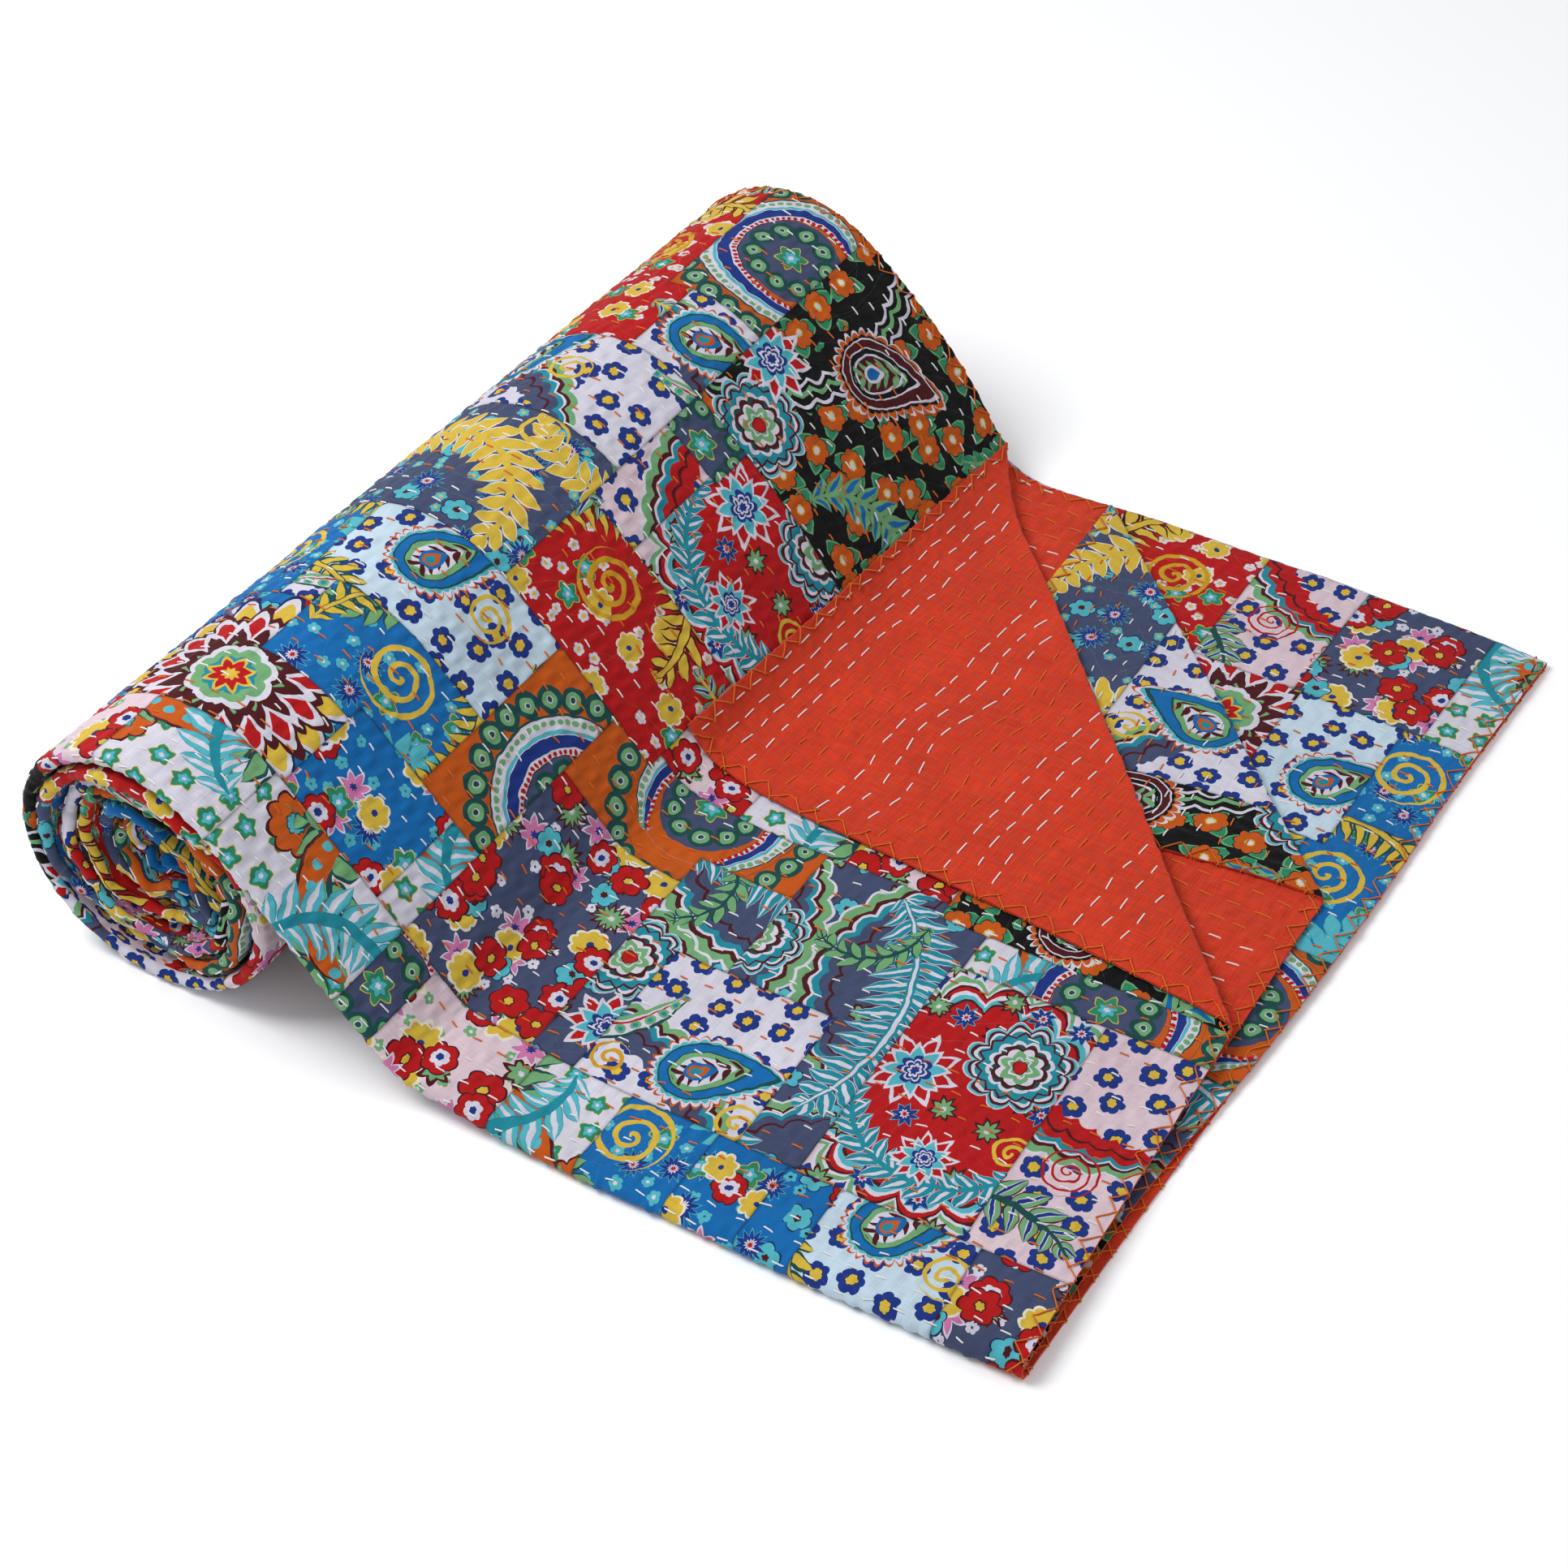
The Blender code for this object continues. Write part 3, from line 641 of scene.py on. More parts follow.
def rim_faces(faces, count):
    """The rim: each edge that only one face has is joined to the same edge on the reverse, count points later."""
    edges = np.stack([faces, np.roll(faces, -1, axis=1)], -1).reshape(-1, 2)
    edges = edges[edges[:, 0] != edges[:, 1]]
    forward, backward = edges[:, 0] * count + edges[:, 1], edges[:, 1] * count + edges[:, 0]
    rim = edges[~np.isin(forward, backward)]
    return np.stack([rim[:, 1], rim[:, 0], rim[:, 0] + count, rim[:, 1] + count], -1)


def seam_points(faces, patch, count):
    """One at each point where two patches meet, and nothing at the others."""
    low, high = np.full(count, 10**6), np.full(count, -1)
    for k in range(4):
        np.minimum.at(low, faces[:, k], patch)
        np.maximum.at(high, faces[:, k], patch)
    return (high > low).astype(float)


def print_places(faces, patch, lined):
    """X and Y of each corner on its own patch's print, in metres: the way from the print's middle, turned."""
    turn, middle_along, middle_y = np.array([entry[5:8] for entry in ALL_PATCHES], float)[patch].T[:, :, None]
    x, y = middle_along - lined[:, 0][faces], unfolded_y(lined[:, 1])[faces] - middle_y
    cos, sin = np.cos(np.radians(turn)), np.sin(np.radians(turn))
    return np.stack([x * cos + y * sin, y * cos - x * sin], -1)


# %% One sheet of cloth
def sheet_of_cloth(name, along, way):
    """Two faces and a rim, from a grid of the flat cloth. The faces lie half the local thickness either side of
    the middle surface, which the wrinkles lift, and the cloth is thinner at its seams."""
    flat, faces = merged_grid(along, way)
    count = len(flat)
    middle, units = cloth_points(*flat.T), across_the_cloth(*flat.T)
    lined = np.stack([grid_line(*flat.T), flat[:, 1]], -1)
    patch = patch_of(*lined[faces].mean(axis=1).T)
    seam = seam_points(faces, patch, count)
    pinch = 1 - SEAM_PINCH * seam
    points = np.concatenate([middle + units[2] * (face_height(*flat.T, side) * pinch)[:, None] for side in (1, -1)])
    points[:, 2] = np.maximum(points[:, 2], FLOOR_GAP)
    looks = np.concatenate([face_normals(*flat.T, units, side) for side in (1, -1)])
    rims = rim_faces(faces, count)
    shell = np.concatenate([faces, faces[:, ::-1] + count, rims])
    material = np.array([PRINTS.index(entry[4]) for entry in ALL_PATCHES])[patch]
    material = np.concatenate([material, np.full(len(faces) + len(rims), REVERSE)])
    on_cloth = np.concatenate([flat, flat])[shell]
    on_print = np.concatenate([print_places(faces, patch, lined), on_cloth[len(faces):]])
    keep = shell != np.roll(shell, 1, axis=1)  # a face with a repeated corner is written as a triangle
    sizes = keep.sum(axis=1)
    cloth_face = np.repeat(np.arange(len(shell)) < 2 * len(faces), sizes)
    normals = np.where(cloth_face[:, None], looks[shell[keep]], 0)
    return add_mesh(
        name, points, shell[keep], sizes, material, normals,
        {"print": on_print[keep], "cloth": on_cloth[keep]}, {"seam": np.concatenate([seam, 0 * seam])},
    )


def add_mesh(name, points, corners, sizes, material, normals, maps, marks):
    """A mesh object from whole arrays: points, the corners of all faces in one list, each face's corner count
    and material, each corner's normal, where a zero leaves the face flat, maps of two numbers per corner and
    marks of one number per point."""
    mesh = bpy.data.meshes.new(name)
    mesh.vertices.add(len(points))
    mesh.vertices.foreach_set("co", points.ravel())
    mesh.loops.add(len(corners))
    mesh.loops.foreach_set("vertex_index", corners)
    mesh.polygons.add(len(sizes))
    starts = np.cumsum(sizes) - sizes
    mesh.polygons.foreach_set("loop_start", starts)
    mesh.polygons.foreach_set("material_index", material)
    mesh.polygons.foreach_set("use_smooth", np.any(normals[starts] != 0, axis=1))
    for map_name, places in maps.items():
        layer = mesh.uv_layers.new(name=map_name)
        layer.uv.foreach_set("vector", places.ravel())
    for mark_name, values in marks.items():
        attribute = mesh.attributes.new(mark_name, "FLOAT", "POINT")
        attribute.data.foreach_set("value", values)
    mesh.update(calc_edges=True)
    mesh.validate()
    mesh.normals_split_custom_set(normals)
    made = bpy.data.objects.new(name, mesh)
    bpy.context.scene.collection.objects.link(made)
    print(name, "has", len(points), "points and", len(sizes), "faces")
    return made


# %% [markdown]
# ## Printed cotton
# The patches are thin cotton voile, printed by hand with blocks: flat, saturated colours, with white and dark
# outlines round each motif, and all of it slightly uneven. A picture could be wrapped round the cloth, but a
# pattern worked out from lengths on the cloth stays sharp from any distance. Each motif below is a few steps of
# arithmetic that end in a colour ramp with hard steps, and a print lays its motifs over its ground one by one.

# %% Colours and nodes
def colour(code):
    """Linear red, green, blue and alpha from an sRGB hex code: c / 12.92 for dark values, and
    ((c + 0.055) / 1.055) ^ 2.4 for the others. An empty code is clear."""
    if not code:
        return (0, 0, 0, 0)
    parts = [int(code[k : k + 2], 16) / 255 for k in (1, 3, 5)]
    return (*[c / 12.92 if c <= 0.04045 else ((c + 0.055) / 1.055) ** 2.4 for c in parts], 1)


def add(tree, kind, inputs=(), **settings):
    """Adds one node with its settings and its inputs, by number or by name. A kind may have its operation after a
    dot. An input is a value, another node's output, or a node, whose first output is then taken."""
    kind, *operation = kind.split(".")
    node = tree.nodes.new("ShaderNode" + kind)
    for name, value in [*settings.items(), *(("operation", chosen) for chosen in operation)]:
        setattr(node, name, value)
    for key, value in inputs.items() if isinstance(inputs, dict) else enumerate(inputs):
        if isinstance(value, bpy.types.Node):
            value = value.outputs[0]
        if isinstance(value, bpy.types.NodeSocket):
            tree.links.new(value, node.inputs[key])
        else:
            node.inputs[key].default_value = value
    return node


def ink(tree, below, share, stops):
    """Lays colours over what is below, in hard steps: stops are pairs of a share and a colour's code, and a
    clear one lets what is below show through."""
    ramp = add(tree, "ValToRGB", [share])
    elements = ramp.color_ramp.elements
    ramp.color_ramp.interpolation = "CONSTANT"
    while len(elements) < len(stops):
        elements.new(0.5)
    for element, (position, code) in zip(elements, stops):
        element.position, element.color = position, colour(code)
    if all(code for _, code in stops):
        return ramp.outputs[0]
    mixed = add(tree, "Mix", {0: ramp.outputs["Alpha"], 6: below, 7: ramp.outputs["Color"]}, data_type="RGBA")
    return mixed.outputs[2]


def rings(*parts, end=1):
    """A motif's colours from its middle to its rim, with the share of the way at which each gives way to the
    next. Beyond the end, the ground shows."""
    return [*zip((0, *parts[1::2]), parts[::2]), (end, "")]


# %% Where a motif is
def around(tree, place, centre=(0, 0), turn=0, size=1.0, repeat=None, bow=0.0):
    """Coordinates about a motif's centre, in units of its size: X, Y, the distance and the angle. With a repeat,
    the motif comes again at every such step along X and Y. A bow moves the point measured from back against X,
    so that an arc of that radius has its own middle at the centre."""
    moved = add(tree, "VectorMath.SUBTRACT", [place, (*centre, 0)])
    if repeat:
        half = (repeat[0] / 2, repeat[1] / 2, 1)
        moved = add(tree, "VectorMath.WRAP", [moved, half, [-h for h in half]])
    local = add(tree, "Mapping", [moved, (bow, 0, 0), (0, 0, -math.radians(turn)), (1 / size, 1 / size, 1)])
    split = add(tree, "SeparateXYZ", [local])
    distance = add(tree, "VectorMath.LENGTH", [local]).outputs["Value"]
    angle = add(tree, "Math.ARCTAN2", [split.outputs[1], split.outputs[0]])
    return split.outputs[0], split.outputs[1], distance, angle


# %% Flowers: rings whose radius rises and falls round the centre
def petalled(tree, distance, angle, reach, count, depth, power=2.2, shift=0.0):
    """Share of the way from the centre to a flower's outline. With t rising from 0 in the middle of a petal to 1
    between two, the outline's radius is reach (1 - depth t^power): a power of 2 makes round petals, and of 1
    points. A shift of 1 turns the flower by half a petal."""
    t = add(tree, "Math.MULTIPLY_ADD", [angle, count / math.pi, shift])
    t = add(tree, "Math.POWER", [add(tree, "Math.PINGPONG", [t, 1.0]), power])
    outline = add(tree, "Math.MULTIPLY_ADD", [t, -depth * reach, reach])
    return add(tree, "Math.DIVIDE", [distance, outline])


def medallion(tree, below, place, layers, **where):
    """Flowers of different petals on one centre, the widest first. A layer is its stops and the settings of
    petalled."""
    _, _, distance, angle = around(tree, place, **where)
    for stops, *settings in layers:
        below = ink(tree, below, petalled(tree, distance, angle, *settings), stops)
    return below


def blossoms(tree, below, place, spacing, looseness, size, count, depth, stops, kept=1.0, away=0.0, power=2.2):
    """Small flowers scattered over the ground, one in each cell of a loose net, turned at random. Only a share
    of them is kept, and away moves the whole net aside."""
    net = add(tree, "VectorMath.ADD", [place, (away, away * 1.7, 0)])
    cells = add(tree, "TexVoronoi", {"Vector": net, "Scale": 1 / spacing, "Randomness": looseness},
                voronoi_dimensions="2D")
    local = add(tree, "VectorMath.SUBTRACT", [net, cells.outputs["Position"]])
    split = add(tree, "SeparateXYZ", [local])
    distance = add(tree, "VectorMath.LENGTH", [local]).outputs["Value"]
    chance = add(tree, "SeparateColor", [cells.outputs["Color"]])
    angle = add(tree, "Math.ARCTAN2", [split.outputs[1], split.outputs[0]])
    angle = add(tree, "Math.MULTIPLY_ADD", [chance.outputs[2], 6.28, angle])
    share = petalled(tree, distance, angle, size, count, depth, power)
    if kept < 1:
        left_out = add(tree, "Math.GREATER_THAN", [chance.outputs[0], kept])
        share = add(tree, "Math.ADD", [share, left_out])
    return ink(tree, below, share, stops)


# %% Paisleys: a bulb drawn out to a curled tip
def paisley(tree, below, place, stops, frill=(), branch="", heart=(), curl=0.5, **where):
    """The tip points along Y and curls aside by curl Y^2. The outline's radius is 0.44 + 0.56 s^5, where s falls
    from 1 at the tip to 0 at the foot with the angle. A frill of 26 round scallops stands out beyond it, and
    a branch with slanting twigs lies inside, under the heart."""
    x, y, _, _ = around(tree, place, **where)
    up = add(tree, "Math.MAXIMUM", [y, 0.0])
    x = add(tree, "Math.MULTIPLY_ADD", [add(tree, "Math.MULTIPLY", [up, up]), -curl, x])
    distance = add(tree, "VectorMath.LENGTH", [add(tree, "CombineXYZ", [x, y])]).outputs["Value"]
    angle = add(tree, "Math.ARCTAN2", [x, y])
    near_tip = add(tree, "Math.MULTIPLY_ADD", [add(tree, "Math.ABSOLUTE", [angle]), -1 / math.pi, 1.0])
    tip = add(tree, "Math.POWER", [near_tip, 5.0])
    outline = add(tree, "Math.MULTIPLY_ADD", [tip, 0.56, 0.44])
    share = add(tree, "Math.DIVIDE", [distance, outline])
    if frill:
        wave = add(tree, "Math.SINE", [add(tree, "Math.MULTIPLY", [angle, 13.0])])
        wave = add(tree, "Math.MULTIPLY_ADD", [add(tree, "Math.ABSOLUTE", [wave]), 0.10, 0.05])
        past = add(tree, "Math.SUBTRACT", [distance, outline])
        below = ink(tree, below, add(tree, "Math.DIVIDE", [past, wave]), frill)
    below = ink(tree, below, share, stops)
    if branch:
        outside = add(tree, "Math.GREATER_THAN", [share, 0.62])
        below = leaves(tree, below, y, x, 0.14, 0.20, 0.9, rings(branch), 1.6, outside)
    return ink(tree, below, share, heart) if heart else below


# %% Leaves along an arc
def leaves(tree, below, length, away, spacing, reach, slant, stops, fullness=2.5, ended=0.0):
    """Leaves on both sides of a stem. With t the distance from the stem over the leaf's reach, a leaf's half
    width is fullness sqrt(t) (1 - t) of half the spacing, and it leans over by slant t. None is drawn where
    ended is one."""
    t = add(tree, "Math.DIVIDE", [add(tree, "Math.ABSOLUTE", [away]), reach])
    along = add(tree, "Math.MULTIPLY_ADD", [t, slant * spacing, length])
    step = add(tree, "Math.WRAP", [along, spacing / 2, -spacing / 2])
    left = add(tree, "Math.MAXIMUM", [add(tree, "Math.SUBTRACT", [1.0, t]), 0.0001])
    width = add(tree, "Math.MULTIPLY", [add(tree, "Math.SQRT", [t]), left])
    width = add(tree, "Math.MULTIPLY_ADD", [width, fullness * spacing / 2, 0.00001])
    share = add(tree, "Math.DIVIDE", [add(tree, "Math.ABSOLUTE", [step]), width])
    return ink(tree, below, add(tree, "Math.ADD", [share, ended]), stops)


def window(tree, angle, half):
    """sqrt(1 - (angle / half)^2): one in the middle of an arc, and nothing at its ends."""
    share = add(tree, "Math.MULTIPLY", [angle, 1 / half])
    square = add(tree, "Math.MULTIPLY_ADD", [add(tree, "Math.MULTIPLY", [share, share]), -1.0, 1.0])
    return add(tree, "Math.SQRT", [add(tree, "Math.MAXIMUM", [square, 0.0])])


# %% Sprays, crescents and swirls
def spray(tree, below, place, radius, half, reach, spacing, leaf, stem, slant=0.8, fullness=2.5, **where):
    """A curved stem with leaves on both sides, like a feather, whose leaves are longest in the middle."""
    _, _, distance, angle = around(tree, place, bow=radius, **where)
    away = add(tree, "Math.SUBTRACT", [distance, radius])
    length = add(tree, "Math.MULTIPLY", [angle, radius])
    opened = window(tree, angle, half)
    ended = add(tree, "Math.LESS_THAN", [opened, 0.2])
    grown = add(tree, "Math.MULTIPLY_ADD", [opened, reach, 0.0001])
    below = leaves(tree, below, length, away, spacing, grown, slant, leaf, fullness, ended)
    share = add(tree, "Math.DIVIDE", [add(tree, "Math.ABSOLUTE", [away]), grown])
    return ink(tree, below, add(tree, "Math.ADD", [share, ended]), stem)


def crescent(tree, below, place, radius, half, width, stops, dots=(), scallop=0.0, **where):
    """An arc of stripes that narrows to nothing at both ends. A scallop is the length of one round bay of the
    stripes, each bay a quarter as deep as it is long. A row of dots is (offset, spacing, size, stops)."""
    _, _, distance, angle = around(tree, place, bow=radius if half < 2.5 else 0, **where)
    away = add(tree, "Math.SUBTRACT", [distance, radius])
    length = add(tree, "Math.MULTIPLY", [angle, radius])
    opened = window(tree, angle, half)
    ended = add(tree, "Math.LESS_THAN", [opened, 0.15])
    narrowed = add(tree, "Math.MULTIPLY_ADD", [opened, width, 0.0001])
    edge = away
    if scallop:
        wave = add(tree, "Math.SINE", [add(tree, "Math.MULTIPLY", [length, math.pi / scallop])])
        edge = add(tree, "Math.MULTIPLY_ADD", [add(tree, "Math.ABSOLUTE", [wave]), -scallop / 4, away])
    share = add(tree, "Math.ADD", [add(tree, "Math.DIVIDE", [edge, narrowed]), 0.5])
    share = add(tree, "Math.ADD", [share, ended])
    below = ink(tree, below, share, [(0, ""), (0.001, stops[0][1]), *stops[1:]])
    for offset, spacing, size, dot in dots:
        step = add(tree, "Math.WRAP", [length, spacing / 2, -spacing / 2])
        aside = add(tree, "Math.MULTIPLY_ADD", [narrowed, -offset, away])
        spot = add(tree, "VectorMath.LENGTH", [add(tree, "CombineXYZ", [step, aside])])
        share = add(tree, "Math.MULTIPLY_ADD", [spot.outputs["Value"], 1 / size, ended])
        below = ink(tree, below, share, dot)
    return below


def swirl(tree, below, place, spacing, reach, code, thickness=0.4, **where):
    """A spiral line: the distance, less one spacing for each turn, as a share of the spacing."""
    _, _, distance, angle = around(tree, place, **where)
    wound = add(tree, "Math.MULTIPLY_ADD", [angle, spacing / 2 / math.pi, distance])
    wound = add(tree, "Math.MULTIPLY", [add(tree, "Math.WRAP", [wound, spacing, 0.0]), 0.999 / spacing])
    outside = add(tree, "Math.GREATER_THAN", [distance, reach])
    return ink(tree, below, add(tree, "Math.ADD", [wound, outside]), rings(code, end=thickness))


# %% Dyes
WHITE, SKY, ROSE, CREAM = "#DEDAE8", "#CBE0EF", "#E4CCD6", "#F0E6D2"
NAVY, BLUE, DEEP, SLATE = "#1B3688", "#0E6DB4", "#14295A", "#454F70"
RED, MAROON, ORANGE = "#BC1216", "#4F1319", "#CC5A14"
YELLOW, GOLD = "#DFBC42", "#D2A024"
TEAL, AQUA, GREEN, PINE, PINK, BLACK = "#1F8FA2", "#55BAC9", "#76AE78", "#1A4D4C", "#D67BAE", "#0A090D"
JADE = "#2E8C66"

BEAD = rings(PINE, 0.2, WHITE, 0.27, GREEN, 0.62, PINE)
DAISY = rings(NAVY, 0.18, YELLOW, 0.86, CREAM)
POPPY = rings(YELLOW, 0.2, MAROON, 0.28, RED, 0.9, MAROON)
WHITE_EYE = rings(NAVY, 0.2, WHITE, 0.5, RED, 0.9, MAROON)
PINK_STAR = rings(NAVY, 0.25, PINK, 0.85, WHITE)
GREEN_STAR = rings(WHITE, 0.2, GREEN, 0.7, MAROON)
JADE_STAR = rings(WHITE, 0.18, AQUA, 0.5, JADE, 0.92, YELLOW)
BLUE_STAR = rings(RED, 0.2, WHITE, 0.36, NAVY, 0.9, AQUA)
AQUA_EYE = rings(MAROON, 0.25, AQUA, 0.9, DEEP)
CORAL = rings(AQUA, 0.3, PINE, 0.36, ORANGE, 0.9, MAROON)
ROSETTE = [
    (rings(TEAL, 0.8, WHITE, 0.86, MAROON, 0.92, AQUA, 0.97, WHITE), 1.0, 12, 0.16),
    (rings(TEAL, 0.93, MAROON), 0.80, 16, 0.14, 1.0),
    (rings(PINE, 0.87, WHITE), 0.60, 12, 0.14),
    (rings(WHITE, 0.84, MAROON), 0.50, 8, 0.2),
    (rings(GREEN, 0.55, WHITE, 0.66, GREEN), 0.38, 6, 0.34, 1.2),
    (rings(RED, 0.88, MAROON), 0.15, 2, 0.0),
]
STAR = [
    (rings(MAROON, 0.5, RED, 0.84, WHITE), 1.0, 8, 0.5, 0.9),
    (rings(AQUA, 0.84, WHITE), 0.76, 8, 0.42, 0.9, 1.0),
    (rings(NAVY, 0.3, WHITE, 0.45, NAVY, 0.62, WHITE, 0.75, NAVY), 0.38, 7, 0.3),
]
FRILL = rings(AQUA, 0.35, WHITE, 0.74, ORANGE)
BLUE_DROP = dict(frill=FRILL, stops=rings(WHITE, 0.5, GREEN, 0.66, PINE, 0.7, BLUE, 0.94, PINE),
                 branch=MAROON, heart=rings(TEAL, 0.12, ORANGE, 0.2, BLUE, 0.3, ""))
RED_DROP = dict(frill=FRILL, stops=rings(WHITE, 0.46, GREEN, 0.62, MAROON, 0.68, RED, 0.94, MAROON),
                branch=RED, heart=rings(TEAL, 0.12, ORANGE, 0.2, TEAL, 0.3, ""))
BLACK_DROP = dict(frill=rings(BLACK, 0.3, ORANGE, 0.74, WHITE), branch=GREEN,
                  stops=rings(MAROON, 0.5, WHITE, 0.56, BLACK, 0.7, WHITE, 0.74, MAROON, 0.95, WHITE),
                  heart=rings(BLUE, 0.16, WHITE, 0.24, ""))
YELLOW_LEAF, YELLOW_STEM = rings(YELLOW, 0.82, CREAM), rings(YELLOW, end=0.1)
EDGED_LEAF, EDGED_STEM = rings(YELLOW, 0.62, PINE), rings(YELLOW, 0.1, PINE, end=0.15)
DROP_LEAF = rings(WHITE, 0.24, TEAL, 0.91, WHITE)
GREEN_LEAF, GREEN_STEM = rings(GREEN, 0.72, PINE), rings(PINE, end=0.1)
SMALL = dict(spacing=0.0192, looseness=0.4, size=0.0071, count=6, depth=0.22,
             stops=rings(YELLOW, 0.4, DEEP, 0.46, NAVY))


def specks(*stops):
    """Very small flowers all over the ground."""
    net = dict(spacing=0.017, looseness=1, size=0.0034, count=5, depth=0.3, kept=0.75)
    return blossoms, net | dict(stops=rings(*stops))


def edging(ground):
    """Stripes of a scalloped border on a ground: teal, white, dark red and green outside it."""
    return rings(ground, 0.3, MAROON, 0.36, ground, 0.52, TEAL, 0.64, WHITE, 0.69, MAROON, 0.78, GREEN, 0.94, WHITE)


def meadow(*kinds):
    """Nets of flowers of several kinds, each set off from the others: a kind is its stops, its size, its count
    of petals, their depth and, if they aren't round, their power."""
    return [(blossoms, dict(spacing=0.031 + 0.001 * k, looseness=0.85, size=size, count=count, depth=depth,
                            power=(*power, 2.2)[0], stops=stops, kept=0.72, away=0.057 + 0.113 * k))
            for k, (stops, size, count, depth, *power) in enumerate(kinds)]


